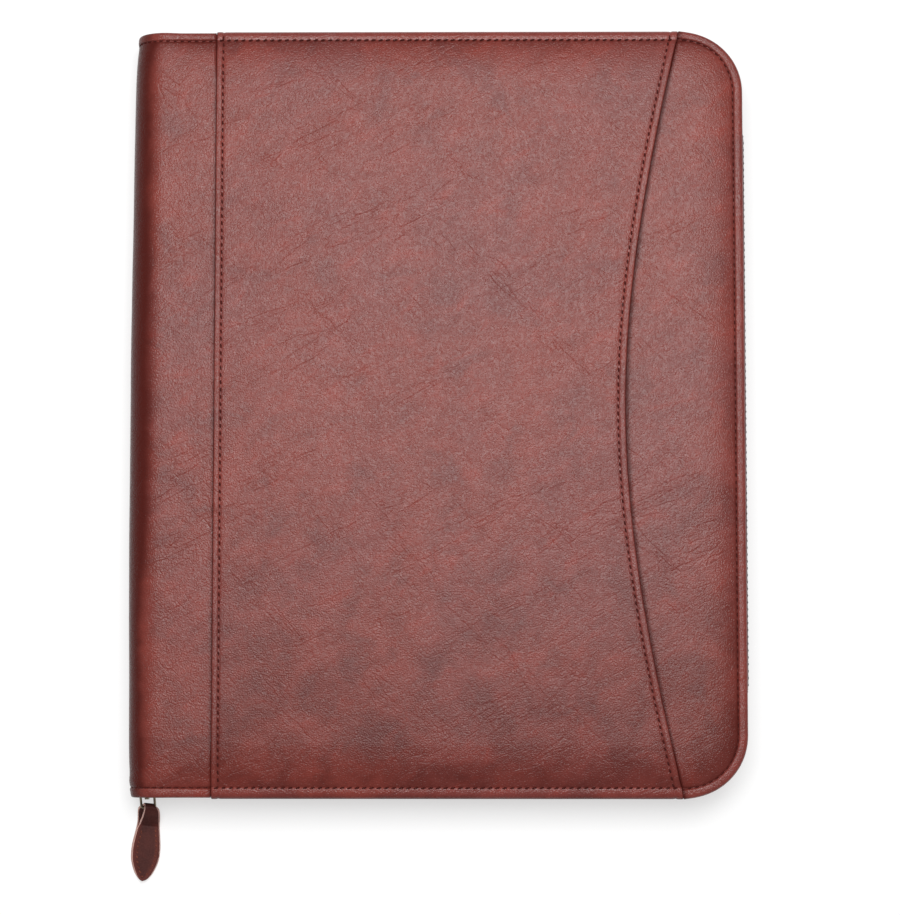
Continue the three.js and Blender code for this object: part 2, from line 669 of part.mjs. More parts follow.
function pullTab() {
  const { lower } = linkBars();
  const side = extruded(tabSideView(lower), 2 * TAB_WIDTH);
  side.rotateX(Math.PI / 2).rotateZ(Math.PI / 2).translate(-TAB_WIDTH, 0, 0);
  const loopRadius = WIRE_DIAMETER / 2 + RUNNING_GAP + TAB_LEATHER;
  const halfAt = ({ along, half }) => [half * TAB_WIDTH / 2, loopRadius - along * TAB_LENGTH];
  const right = [
    [TAB_NECK / 2, loopRadius + TAB_LEATHER],
    [TAB_NECK / 2, -WIRE_DIAMETER / 2 - RUNNING_GAP],
    ...TAB_OUTLINE.map(halfAt),
  ];
  const plan = new THREE.Shape();
  plan.moveTo(...right[0]);
  right.slice(1).forEach(([x, y]) => plan.lineTo(x, y));
  right.slice().reverse().forEach(([x, y]) => plan.lineTo(-x, y));
  const tall = extruded(plan, 2 * SHELL_THICKNESS).translate(0, 0, -SHELL_THICKNESS / 2);
  const geometry = fromSolid(toSolid(side).intersect(toSolid(tall)));
  geometry.rotateZ(degrees(TAB_TURN));
  geometry.translate(lower.x, lower.y, 0);
  return geometry;
}

function piece(name, geometry, material) {
  const mesh = new THREE.Mesh(geometry, material);
  mesh.name = name;
  return mesh;
}

const documentCase = new THREE.Group();
const tapeMaterial = new THREE.MeshStandardMaterial({ color: TAPE_COLOUR, roughness: 0.9, metalness: 0 });
const metalMaterial = new THREE.MeshStandardMaterial({ color: METAL_COLOUR, roughness: 0.4, metalness: 0.9 });
documentCase.add(
  piece('spine_and_back', spineAndBack(), leatherMaterial(LEATHER_EDGE)),
  piece('front_cover', frontCover(), leatherMaterial(LEATHER_BROWN)),
  piece('pocket_panel', pocketPanel(), leatherMaterial(LEATHER_BROWN)),
  piece('zip_tape_front', zipTape(1), tapeMaterial),
  piece('zip_tape_back', zipTape(-1), tapeMaterial),
  piece('zip_teeth', zipTeeth(), tapeMaterial),
  piece('zip_slider', zipSlider(), metalMaterial),
  piece('pull_link', pullLink(), metalMaterial),
  piece('pull_tab', pullTab(), leatherMaterial(LEATHER_PULL)),
);

export default documentCase;
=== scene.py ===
import math

import bmesh
import bpy
import numpy as np
from mathutils import Matrix, Vector
from mathutils.bvhtree import BVHTree


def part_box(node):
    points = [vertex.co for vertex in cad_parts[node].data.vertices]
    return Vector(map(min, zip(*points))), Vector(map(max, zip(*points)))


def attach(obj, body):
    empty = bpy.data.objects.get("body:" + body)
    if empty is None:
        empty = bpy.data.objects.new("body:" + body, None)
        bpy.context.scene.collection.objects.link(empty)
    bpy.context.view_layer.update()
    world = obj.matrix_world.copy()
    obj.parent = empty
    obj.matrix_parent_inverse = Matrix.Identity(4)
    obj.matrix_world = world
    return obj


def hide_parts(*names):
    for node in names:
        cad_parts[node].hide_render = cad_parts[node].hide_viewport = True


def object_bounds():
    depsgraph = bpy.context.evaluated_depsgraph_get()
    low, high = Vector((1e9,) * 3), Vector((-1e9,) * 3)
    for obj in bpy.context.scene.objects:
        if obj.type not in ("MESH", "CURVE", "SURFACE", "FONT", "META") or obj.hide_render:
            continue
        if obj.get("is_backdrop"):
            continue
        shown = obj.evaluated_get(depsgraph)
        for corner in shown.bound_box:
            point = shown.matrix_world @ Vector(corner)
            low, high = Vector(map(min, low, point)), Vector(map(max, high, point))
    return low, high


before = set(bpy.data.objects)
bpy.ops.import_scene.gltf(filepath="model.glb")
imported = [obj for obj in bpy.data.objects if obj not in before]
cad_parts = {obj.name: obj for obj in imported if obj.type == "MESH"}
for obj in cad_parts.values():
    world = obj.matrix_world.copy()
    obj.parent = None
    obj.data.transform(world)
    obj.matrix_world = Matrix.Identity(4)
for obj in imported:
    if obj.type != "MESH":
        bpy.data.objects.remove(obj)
cad_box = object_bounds()

MM = 0.001

# Overall sizes of the two covers and the spine
CASE_WIDTH = 269
CASE_HEIGHT = 337
SHELL_THICKNESS = 26.5
CORNER_RADIUS = 27
COVER_WALL = 4
SPINE_WALL = 2.4
SPINE_BLEND = 9
SPINE_GAP = 0.4

# Rolled edge, stitched valley and padding; the top roll is the narrowest
ROLL_WIDTH = 4.2
TOP_ROLL_WIDTH = 3.7
ROLL_THICKNESS = 3
VALLEY_DEPTH = 1.9
PAD_FALL = 18
GROOVE_DEPTH = 0.25
GROOVE_HALF = 0.55
FIELD_INSET = ROLL_WIDTH + PAD_FALL

# Lapped seam, pocket panel and its curved mouth
SEAM_X = -CASE_WIDTH / 2 + 36.6
JOINT_X = SEAM_X + 6
POCKET_LEATHER = 1.2
MOUTH_REACH = 52.3
MOUTH_END_REACH = 28
MOUTH_BEND = 0.8
SEAM_HEM = 3.0
MOUTH_HEM = 3.4
HEM_WIDTH = (SEAM_HEM + MOUTH_HEM) / 2
HEM_RISE = 0.2
POCKET_TUCK = 1
SEWN_GAP = 0.3
SEAM_GAP = 0.1
TUCK_STEP = 0.2
SPINE_BOW = 1.3

# Zip
TAPE_THICKNESS = 0.8
TAPE_FLANGE = 6
TAPE_STAND = 2
CHAIN_WIDTH = 5.7
CHAIN_INSET = 4
SIDE_BULGE = 4.6
BULGE_CENTRE = 10
BULGE_FLAT = 0.85
CHAIN_START = 4.2
TOOTH_PITCH = 1.5

# Link and pull
WIRE_DIAMETER = 1.1
LINK_WIDTH = 6
LINK_LENGTH = 7.2
LINK_SLOPE = math.radians(40)
TAB_LEATHER = 1.2
TAB_LENGTH = 34.3
TAB_WIDTH = 13
TAB_TURN = math.radians(-5.5)
TAB_GLUED_FROM = 0.29
TAB_CUT_BACK = 2.6
TAB_LEFT_SLOPE = 1.05
TAB_RIGHT_SLOPE = 0.25
TAB_STITCH_PITCH = 2.2
TAB_RIGHT_MARGIN = 1.7
TAB_LEFT_MARGIN = 3.0
RUNNING_GAP = 0.3

# Stitches: pitch, and the thread that shows between two holes
STITCH_PITCH = 3.2
STITCH_LENGTH = 2.35
THREAD_RADIUS = 0.42

# How far the darker edges (partly burnish, partly painted shade) reach into the leather, and how far the
# stitches' pull and the waves do
LOW_BURNISH_AND_SHADE_REACH = 110
TOP_BURNISH_AND_SHADE_REACH = 4.5
RIGHT_BURNISH_AND_SHADE_REACH = 5
WAVE_INSET = 16
PUCKER_INSET = 12

# The foot of the spine, where its dark band (partly burnish, partly painted shade) is narrower and its
# padding squarer
FOOT_FROM_Y = -30
FOOT_TO_Y = -110
BAND_REACH = 9.5
BACK_WEAR = 0.45
FLARE_Y = -CASE_HEIGHT / 2 + 6.5
FLARE = 0.7
SQUARENESS = 0.15
FOOT_SQUARENESS = 0.45
SQUARE_AT_Y = -90

# How far the front panel runs on under the pocket's edge on the roll, and how much it swells to meet it
RUN_UNDER = 0.7
SWELL = 0.6

# Places that follow from the sizes
MID_HEIGHT = SHELL_THICKNESS / 2
HALF_WIDTH = CASE_WIDTH / 2
HALF_HEIGHT = CASE_HEIGHT / 2
CORE_X = HALF_WIDTH - CORNER_RADIUS
CORE_Y = HALF_HEIGHT - CORNER_RADIUS
SPINE_CENTRE_X = -HALF_WIDTH + MID_HEIGHT
SPINE_INNER_RADIUS = MID_HEIGHT - SPINE_WALL - SPINE_GAP
COVER_UNDERSIDE = SHELL_THICKNESS - COVER_WALL

# Rolled edge from its inner face round the outside to the valley:
# share of the roll's width, share of its thickness, how far it gives way under the pocket
ROLL_SECTION = [
    (0.3, 0, 0),
    (0.08, 0.12, 1),
    (0, 0.38, 1),
    (0.04, 0.66, 1),
    (0.14, 0.86, 1),
    (0.32, 0.97, 1),
    (0.6, 1.0, 1),
    (0.84, 0.99, 1),
    (0.95, 0.92, 1),
]

# Padding from the valley to the flat field: share of the fall's width, share of its depth, give
PAD_SECTION = [
    (0, 0, 1),
    (0.07, 0.16, 0.9),
    (0.2, 0.44, 0.7),
    (0.38, 0.71, 0.45),
    (0.65, 0.92, 0.2),
    (1, 1, 0),
]

# Hem along a folded edge: share of its width, share of its rise; the stitches sit at 1
HEM_SECTION = [(0, -1.4), (0.1, 0.3), (0.3, 1), (0.7, 0.85), (1, -0.4), (1.35, 0)]

# Centre line of one stitch: share along it, height above the leather, share of the thread's thickness
STITCH_SECTION = [
    (-0.5, -0.42, 0.4),
    (-0.4, -0.16, 0.7),
    (-0.2, 0.0, 0.95),
    (0.0, 0.04, 1.05),
    (0.2, 0.0, 0.95),
    (0.4, -0.16, 0.7),
    (0.5, -0.42, 0.4),
]

# Each piece of a section is drawn in this many steps; the first rows of an edge's section face inwards
SECTION_STEPS = 4
HIDDEN_ROWS = 3 * SECTION_STEPS

# Stands for the inset of a point of the field inside the edge section
INSIDE = 99

# Outline of the pull: share of its length from the loop, share of its half width
TAB_OUTLINE = [
    (0.035, 0.46),
    (0.07, 0.66),
    (0.12, 0.74),
    (0.2, 0.755),
    (0.28, 0.77),
    (0.41, 0.87),
    (0.52, 0.955),
    (0.6, 0.985),
    (0.68, 0.97),
    (0.74, 0.93),
    (0.82, 0.8),
    (0.9, 0.61),
    (0.955, 0.4),
    (0.985, 0.22),
    (1.0, 0.0),
]


def mix(a, b, share):
    return a + (b - a) * share


def smooth_step(edge0, edge1, value):
    share = np.clip((np.asarray(value, float) - edge0) / (edge1 - edge0), 0, 1)
    return share * share * (3 - 2 * share)


def hump(offset, width):
    """1 at no offset, falling away on both sides."""
    return np.exp(-(offset / width) ** 2)


def fade(distance, reach):
    """1 up to no distance, dying away beyond it."""
    return np.exp(-np.clip(distance, 0, None) / reach)


def smooth_line(points, steps):
    """A smooth curve through the points, with that many pieces between two of them."""
    points = np.asarray(points, float)
    before = np.vstack([2 * points[0] - points[1], points, 2 * points[-1] - points[-2]])
    line = []
    for i in range(len(points) - 1):
        p0, p1, p2, p3 = before[i:i + 4]
        for k in range(steps):
            t = k / steps
            bend = (2 * p0 - 5 * p1 + 4 * p2 - p3) * t * t + (3 * p1 - p0 - 3 * p2 + p3) * t ** 3
            line.append(0.5 * (2 * p1 + (p2 - p0) * t + bend))
    line.append(points[-1])
    return np.array(line)


def along_path(points):
    """Unit direction of a path at each of its points."""
    ahead = np.gradient(points, axis=0)
    return ahead / np.linalg.norm(ahead, axis=1)[:, None]


def mouth_x(y):
    """X of the pocket mouth's folded edge, a shallow arc that is straighter at its ends."""
    up = np.clip(np.asarray(y, float) / HALF_HEIGHT, -1, 1)
    full = math.hypot(1, 1 / MOUTH_BEND) - 1
    bend = np.hypot(1, up / MOUTH_BEND) - 1
    return HALF_WIDTH - mix(MOUTH_REACH, MOUTH_END_REACH, bend / full)


def side_bulge(y):
    reach = np.where(y > BULGE_CENTRE, CORE_Y - BULGE_CENTRE, CORE_Y + BULGE_CENTRE)
    return 1 - smooth_step(BULGE_FLAT, 1, np.abs(y - BULGE_CENTRE) / reach)


def field_wave(x, y):
    """The soft unevenness of padded leather, a few tenths of a millimetre."""
    slow = np.sin(x / 19 + 1.3 * np.sin(y / 37)) * np.sin(y / 27 + 0.8)
    middle = np.sin(x / 9.5 + y / 15 + 2 * np.sin(x / 41)) * np.sin(y / 11 - x / 23)
    return 0.12 * slow + 0.045 * middle


def edge_profile():
    """Fine section of a cover's edge: inset from the outline, height from the field, give."""
    roll = [(a * ROLL_WIDTH, up * ROLL_THICKNESS - COVER_WALL, give) for a, up, give in ROLL_SECTION]
    pad = [(ROLL_WIDTH + a * PAD_FALL, (up - 1) * VALLEY_DEPTH, give) for a, up, give in PAD_SECTION]
    line = smooth_line(roll + pad, SECTION_STEPS)
    line[:, 2] = np.clip(line[:, 2], 0, 1)
    return line


def tucked(inset, height, give):
    """Under the pocket the edge is thinner, and its roll is set in; the valley stays where it is."""
    thinner = 1 - give * POCKET_TUCK / ROLL_THICKNESS
    on_roll = 1 - smooth_step(0.5 * ROLL_WIDTH, ROLL_WIDTH, inset)
    return inset + give * POCKET_TUCK * on_roll, (height + COVER_WALL) * thinner - COVER_WALL


def narrowed(inset, share):
    """Inset with the roll narrowed to that of the top edge by a share."""
    width = mix(ROLL_WIDTH, TOP_ROLL_WIDTH, share)
    on_roll = inset * width / ROLL_WIDTH
    fall = (FIELD_INSET - width) / PAD_FALL
    beyond = width + (inset - ROLL_WIDTH) * fall
    return np.where(inset < ROLL_WIDTH, on_roll, np.where(inset < FIELD_INSET, beyond, inset))


def top_share(y_direction):
    return smooth_step(0.3, 0.95, y_direction)


class Shape:
    """Collects the points, faces and per-point darkening values of one mesh: burnish and painted shade above
    zero, rubbing and painted highlight below zero.
    """

    def __init__(self):
        self.points = []
        self.faces = []
        self.wear_and_painted_light = []
        self.materials = []
        self.count = 0

    def add(self, points, wear_and_painted_light=0.0):
        points = np.asarray(points, float).reshape(-1, 3)
        numbers = np.arange(self.count, self.count + len(points))
        self.points.append(points)
        self.wear_and_painted_light.append(np.broadcast_to(np.asarray(wear_and_painted_light, float).ravel(), (len(points),)))
        self.count += len(points)
        return numbers

    def grid(self, numbers, material=0, turned=False):
        """Faces between the rows and columns of a table of point numbers."""
        a, b = numbers[:-1, :-1].ravel(), numbers[1:, :-1].ravel()
        c, d = numbers[1:, 1:].ravel(), numbers[:-1, 1:].ravel()
        quads = np.stack([a, d, c, b] if turned else [a, b, c, d], axis=1)
        self.faces.extend(quads.tolist())
        self.materials.extend([material] * len(quads))

    def fill(self, numbers, material=0):
        self.faces.append([int(number) for number in numbers])
        self.materials.append(material)

    def fill_ends(self, rows, material=0):
        """Closes both ends of a section whose points each have a row along the sweep."""
        self.fill([row[0] for row in rows], material)
        self.fill([row[-1] for row in rows][::-1], material)

    def build(self, name, materials, replaced=(), weld=0.0):
        mesh = bpy.data.meshes.new(name)
        points = np.concatenate(self.points) * MM
        mesh.from_pydata(points.tolist(), [], self.faces)
        for material in materials:
            mesh.materials.append(material)
        mesh.polygons.foreach_set("material_index", self.materials)
        attribute = mesh.attributes.new("wear_and_painted_light", "FLOAT", "POINT")
        attribute.data.foreach_set("value", np.concatenate(self.wear_and_painted_light).astype(np.float32))
        if weld:
            welded(mesh, weld)
        mesh.polygons.foreach_set("use_smooth", [True] * len(mesh.polygons))
        mesh.update()
        piece = bpy.data.objects.new(name, mesh)
        bpy.context.scene.collection.objects.link(piece)
        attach(piece, "root")
        if replaced:
            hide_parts(*replaced)
        return piece


def welded(mesh, distance):
    work = bmesh.new()
    work.from_mesh(mesh)
    bmesh.ops.remove_doubles(work, verts=work.verts, dist=distance * MM)
    bmesh.ops.recalc_face_normals(work, faces=work.faces)
    work.to_mesh(mesh)
    work.free()


def ring_tube(shape, centres, up, radii, across=None, sides=6, closed=False):
    """A tube through the centres. Its rings lie along up and across, or else square to the path."""
    last = len(centres) - 1
    rings = []
    for i, (centre, radius) in enumerate(zip(centres, radii)):
        before = centres[i - 1] if closed else centres[max(i - 1, 0)]
        after = centres[(i + 1) % (last + 1)] if closed else centres[min(i + 1, last)]
        side = (after - before).cross(up).normalized() if across is None else across
        ring = []
        for k in range(sides):
            angle = 2 * math.pi * k / sides
            ring.append(centre + side * math.cos(angle) * radius + up * math.sin(angle) * radius)
        rings.append(shape.add(ring))
    swept = rings + rings[:1] if closed else rings
    shape.grid(np.array([np.append(ring, ring[0]) for ring in swept]))
    if not closed:
        shape.fill(rings[0][::-1])
        shape.fill(rings[-1])


# Node helpers

def new_material(name):
    material = bpy.data.materials.new(name)
    material.use_nodes = True
    tree = material.node_tree
    shader = tree.nodes["Principled BSDF"]
    return material, tree, shader


def link_or_set(tree, socket, value):
    if isinstance(value, bpy.types.NodeSocket):
        tree.links.new(value, socket)
    else:
        socket.default_value = value


def calc(tree, operation, first, second=0.0):
    node = tree.nodes.new("ShaderNodeMath")
    node.operation = operation
    link_or_set(tree, node.inputs[0], first)
    link_or_set(tree, node.inputs[1], second)
    return node.outputs[0]


def span(tree, value, low, high, to_low=0.0, to_high=1.0):
    """Maps a value smoothly from one span to another."""
    node = tree.nodes.new("ShaderNodeMapRange")
    node.interpolation_type = "SMOOTHSTEP"
    link_or_set(tree, node.inputs["Value"], value)
    node.inputs["From Min"].default_value = low
    node.inputs["From Max"].default_value = high
    node.inputs["To Min"].default_value = to_low
    node.inputs["To Max"].default_value = to_high
    return node.outputs[0]


def blend_colours(tree, share, first, second, kind="MIX"):
    node = tree.nodes.new("ShaderNodeMix")
    node.data_type = "RGBA"
    node.blend_type = kind
    link_or_set(tree, node.inputs[0], share)
    for socket, value in ((node.inputs[6], first), (node.inputs[7], second)):
        if isinstance(value, tuple):
            value = (*value, 1.0)
        link_or_set(tree, socket, value)
    return node.outputs[2]


def tint(tree, colour, other, value, low, high, most=1.0):
    """Blends the colour into the other one where the value runs from low to high."""
    return blend_colours(tree, span(tree, value, low, high, 0, most), colour, other)


def object_place(tree, stretch=(1, 1, 1), turn=(0, 0, 0)):
    place = tree.nodes.new("ShaderNodeTexCoord").outputs["Object"]
    if stretch == (1, 1, 1) and turn == (0, 0, 0):
        return place
    mapping = tree.nodes.new("ShaderNodeMapping")
    mapping.vector_type = "TEXTURE"
    mapping.inputs["Scale"].default_value = stretch
    mapping.inputs["Rotation"].default_value = turn
    tree.links.new(place, mapping.inputs["Vector"])
    return mapping.outputs[0]


def texture(tree, kind, place, size, **values):
    """A texture node with features of about that many millimetres."""
    node = tree.nodes.new("ShaderNodeTex" + kind)
    tree.links.new(place, node.inputs["Vector"])
    node.inputs["Scale"].default_value = 1 / (size * MM)
    for name, value in values.items():
        node.inputs[name].default_value = value
    return node


def noise(tree, place, size, detail=2.0, roughness=0.5, distortion=0.0):
    node = texture(tree, "Noise", place, size, Detail=detail, Roughness=roughness, Distortion=distortion)
    return node.outputs[0]


def cells(tree, place, size):
    """Distance to the nearest edge between small cells."""
    node = texture(tree, "Voronoi", place, size)
    node.feature = "DISTANCE_TO_EDGE"
    return node.outputs["Distance"]


def waves(tree, place, size, direction, distortion):
    node = texture(tree, "Wave", place, size, Distortion=distortion)
    node.bands_direction = direction
    return node.outputs[1]


def bump(tree, shader, height, depth):
    """Raises the surface by height times depth millimetres."""
    node = tree.nodes.new("ShaderNodeBump")
    node.inputs["Distance"].default_value = depth * MM
    tree.links.new(height, node.inputs["Height"])
    tree.links.new(node.outputs[0], shader.inputs["Normal"])


def wear_and_painted_light_of(tree):
    node = tree.nodes.new("ShaderNodeAttribute")
    node.attribute_name = "wear_and_painted_light"
    return node.outputs["Fac"]


def finish_surface(tree, shader, colour, roughness, height, depth):
    """Gives the shader its colour, its roughness as a number or a map, and its fine relief."""
    tree.links.new(colour, shader.inputs["Base Color"])
    link_or_set(tree, shader.inputs["Roughness"], roughness)
    bump(tree, shader, height, depth)


# Materials

# Burgundy-brown leather, darker along the spine and edges (partly burnish, partly painted shade) and lighter
# on the rolls (partly rubbed, partly a painted highlight)
PANEL_MAIN = (0.216, 0.041, 0.031)
PANEL_RED = (0.236, 0.036, 0.025)
PANEL_MAUVE = (0.192, 0.044, 0.038)
BURNISH_AND_SHADE = (0.078, 0.012, 0.009)
RUBBED_AND_HIGHLIGHT = (0.31, 0.065, 0.05)

# Mirror reflection of the soft glaze on the leather
LEATHER_GLOSS = 0.26


def creases(tree, size, turn, low, high):
    """Long fine folds of the leather's skin: 1 on a fold and 0 beside it, in some places only."""
    along = object_place(tree, (1.0, 4.5, 1.0), (0, 0, turn))
    height = noise(tree, along, size, 2, 0.5, 0.25)
    away = calc(tree, "ABSOLUTE", calc(tree, "SUBTRACT", height, 0.5))
    line = span(tree, away, 0.0, 0.035, 1.0, 0.0)
    here = span(tree, noise(tree, along, size * 2.6, 2, 0.5), low, high)
    return calc(tree, "MULTIPLY", line, here)


def antiqued_leather(name):
    """Glazed leather: soft clouds of colour, glinting pebbles and creases; darker where the per-point value
    is high (burnish and painted shade), lighter where it is below zero (rubbing and painted highlight).
    """
    material, tree, shader = new_material(name)
    place = object_place(tree)
    cloud = noise(tree, place, 62, 3, 0.5, 0.5)
    blotch = noise(tree, place, 17, 3, 0.6, 0.5)
    streak = noise(tree, object_place(tree, (1.0, 2.4, 1.0), (0, 0, -1.0)), 6, 4, 0.6, 0.6)
    fleck = noise(tree, place, 2.4, 3, 0.6)
    grain = noise(tree, place, 0.75, 1, 0.5)
    pebble = span(tree, cells(tree, place, 0.95), 0.0, 0.36)
    colour = tint(tree, PANEL_MAIN, PANEL_MAUVE, cloud, 0.42, 0.68, 0.7)
    colour = tint(tree, colour, PANEL_RED, streak, 0.54, 0.72, 0.6)
    colour = tint(tree, colour, PANEL_MAUVE, blotch, 0.56, 0.72, 0.7)
    tone = span(tree, blotch, 0.3, 0.7, 1.07, 0.92)
    tone = calc(tree, "MULTIPLY", tone, span(tree, streak, 0.3, 0.7, 0.94, 1.06))
    tone = calc(tree, "MULTIPLY", tone, span(tree, pebble, 0.0, 1.0, 0.86, 1.03))
    combined = tree.nodes.new("ShaderNodeCombineColor")
    for socket in combined.inputs:
        link_or_set(tree, socket, tone)
    colour = blend_colours(tree, 1.0, colour, combined.outputs[0], "MULTIPLY")
    wear_and_painted_light = wear_and_painted_light_of(tree)
    uneven = calc(tree, "ADD", wear_and_painted_light, span(tree, blotch, 0.25, 0.75, -0.14, 0.14))
    # The per-point value blends in the dark colour (burnish and painted shade) and the light one (rubbing
    # and painted highlight).
    colour = tint(tree, colour, BURNISH_AND_SHADE, uneven, 0.05, 1.0)
    colour = tint(tree, colour, RUBBED_AND_HIGHLIGHT, wear_and_painted_light, -0.05, -1.0)
    gloss = span(tree, wear_and_painted_light, 0.25, 0.95, LEATHER_GLOSS, LEATHER_GLOSS * 0.4)
    gloss = calc(tree, "MULTIPLY", gloss, span(tree, wear_and_painted_light, -0.05, -0.4, 1.0, 1.5))
    tree.links.new(gloss, shader.inputs["Specular IOR Level"])
    folds = calc(tree, "ADD", creases(tree, 6, -1.1, 0.48, 0.62), creases(tree, 5, 0.8, 0.52, 0.66))
    parts = [(pebble, 0.055), (grain, 0.13), (fleck, 0.05), (streak, 0.14), (folds, -0.07)]
    height = calc(tree, "MULTIPLY", *parts[0])
    for part, depth in parts[1:]:
        height = calc(tree, "ADD", height, calc(tree, "MULTIPLY", part, depth))
    finish_surface(tree, shader, colour, span(tree, fleck, 0.3, 0.7, 0.22, 0.32), height, 1.0)
    return material


def smooth_leather(name, main, dark, scuffed, rubbed):
    material, tree, shader = new_material(name)
    shader.inputs["Specular IOR Level"].default_value = 0.06
    place = object_place(tree)
    cloud = noise(tree, place, 6, 4, 0.6, 0.3)
    grain = noise(tree, place, 0.5, 3, 0.6)
    colour = tint(tree, main, dark, cloud, 0.35, 0.7)
    colour = tint(tree, colour, scuffed, grain, 0.3, 0.7, 0.3)
    colour = blend_colours(tree, wear_and_painted_light_of(tree), colour, rubbed)
    roughness = span(tree, cloud, 0.3, 0.7, 0.4, 0.5)
    finish_surface(tree, shader, colour, roughness, calc(tree, "ADD", grain, cloud), 0.05)
    return material


def raw_edge(name, pale, deep):
    """The cut edge of leather, with fibres in fine layers."""
    material, tree, shader = new_material(name)
    place = object_place(tree)
    fibre = noise(tree, object_place(tree, (1, 1, 0.2)), 1.2, 4, 0.65)
    patch = noise(tree, place, 3.5, 2, 0.5)
    colour = tint(tree, deep, pale, fibre, 0.3, 0.75)
    colour = tint(tree, colour, deep, patch, 0.45, 0.75, 0.5)
    finish_surface(tree, shader, colour, 0.75, fibre, 0.12)
    return material


def thread_material(name, main, light):
    """Twisted thread: slanted strands and fine fibres."""
    material, tree, shader = new_material(name)
    place = object_place(tree)
    strand = waves(tree, place, 1.6, "DIAGONAL", 1.5)
    fibre = noise(tree, place, 0.35, 3, 0.7)
    colour = tint(tree, main, light, calc(tree, "MULTIPLY", strand, fibre), 0.1, 0.6)
    shader.inputs["Specular IOR Level"].default_value = 0.1
    finish_surface(tree, shader, colour, 0.7, calc(tree, "ADD", strand, fibre), 0.06)
    return material


def woven_tape(name, main, light):
    """Zip tape with a fine rib of warp threads crossed by weft."""
    material, tree, shader = new_material(name)
    place = object_place(tree)
    warp = waves(tree, place, 2.4, "Z", 0.6)
    weave = calc(tree, "MULTIPLY", warp, waves(tree, place, 1.92, "DIAGONAL", 0.6))
    fuzz = noise(tree, place, 0.6, 3, 0.7)
    colour = tint(tree, main, light, calc(tree, "ADD", weave, fuzz), 0.3, 1.3)
    dust = noise(tree, place, 14, 3, 0.6)
    colour = tint(tree, colour, light, dust, 0.45, 0.8, 0.35)
    shader.inputs["Specular IOR Level"].default_value = 0.15
    shader.inputs["Sheen Weight"].default_value = 0.1
    shader.inputs["Sheen Roughness"].default_value = 0.5
    finish_surface(tree, shader, colour, 0.85, weave, 0.12)
    return material


def nylon_coil(name, main, light):
    material, tree, shader = new_material(name)
    place = object_place(tree)
    patch = noise(tree, place, 2.2, 3, 0.6)
    colour = tint(tree, main, light, patch, 0.35, 0.75)
    shader.inputs["Specular IOR Level"].default_value = 0.15
    roughness = span(tree, patch, 0.3, 0.7, 0.45, 0.6)
    finish_surface(tree, shader, colour, roughness, noise(tree, place, 0.5, 2, 0.5), 0.03)
    return material


def aged_metal(name, main, bright):
    """Dark antiqued metal, rubbed brighter in patches and along its edges."""
    material, tree, shader = new_material(name)
    place = object_place(tree)
    patch = noise(tree, place, 1.8, 4, 0.65)
    scratch = noise(tree, object_place(tree, (0.2, 1, 1), (0.3, 0.2, 0.5)), 2.2, 3, 0.6)
    pointed = tree.nodes.new("ShaderNodeNewGeometry").outputs["Pointiness"]
    rubbed = calc(tree, "MULTIPLY", span(tree, pointed, 0.5, 0.56), span(tree, patch, 0.3, 0.6))
    share = calc(tree, "MAXIMUM", rubbed, span(tree, scratch, 0.62, 0.75, 0, 0.4))
    colour = blend_colours(tree, share, main, bright)
    shader.inputs["Metallic"].default_value = 0.9
    finish_surface(tree, shader, colour, span(tree, patch, 0.3, 0.7, 0.28, 0.5), patch, 0.03)
    return material


panel_leather = antiqued_leather("panel_leather")
spine_leather = antiqued_leather("spine_leather")
pull_leather = smooth_leather("pull_leather", (0.07, 0.019, 0.016), (0.045, 0.014, 0.013),
                              (0.15, 0.06, 0.05), (0.13, 0.035, 0.028))
cut_edge = raw_edge("cut_edge", (0.85, 0.55, 0.48), (0.5, 0.25, 0.2))
dark_thread = thread_material("dark_thread", (0.042, 0.006, 0.005), (0.085, 0.015, 0.012))
pull_thread = thread_material("pull_thread", (0.1, 0.026, 0.018), (0.27, 0.08, 0.045))
tape_weave = woven_tape("tape_weave", (0.06, 0.018, 0.019), (0.13, 0.048, 0.048))
coil_nylon = nylon_coil("coil_nylon", (0.026, 0.009, 0.01), (0.05, 0.018, 0.018))
slider_metal = aged_metal("slider_metal", (0.07, 0.055, 0.04), (0.32, 0.26, 0.18))


# Covers

def outline_stations(run_count, corner_steps, side_ys):
    """For each station: its number on a straight run, or else -1; its core point and outward direction."""
    angles = np.linspace(0, math.pi / 2, corner_steps + 1)
    stations = [(i, 0, CORE_Y, 0, 1) for i in range(run_count)]
    stations += [(-1, CORE_X, CORE_Y, math.sin(angle), math.cos(angle)) for angle in angles]
    stations += [(-1, CORE_X, y, 1, 0) for y in side_ys[1:-1]]
    stations += [(-1, CORE_X, -CORE_Y, math.cos(angle), -math.sin(angle)) for angle in angles]
    stations += [(i, 0, -CORE_Y, 0, -1) for i in reversed(range(run_count))]
    table = np.array(stations, float)
    return table[:, 0].astype(int), table[:, 1:3], table[:, 3:]


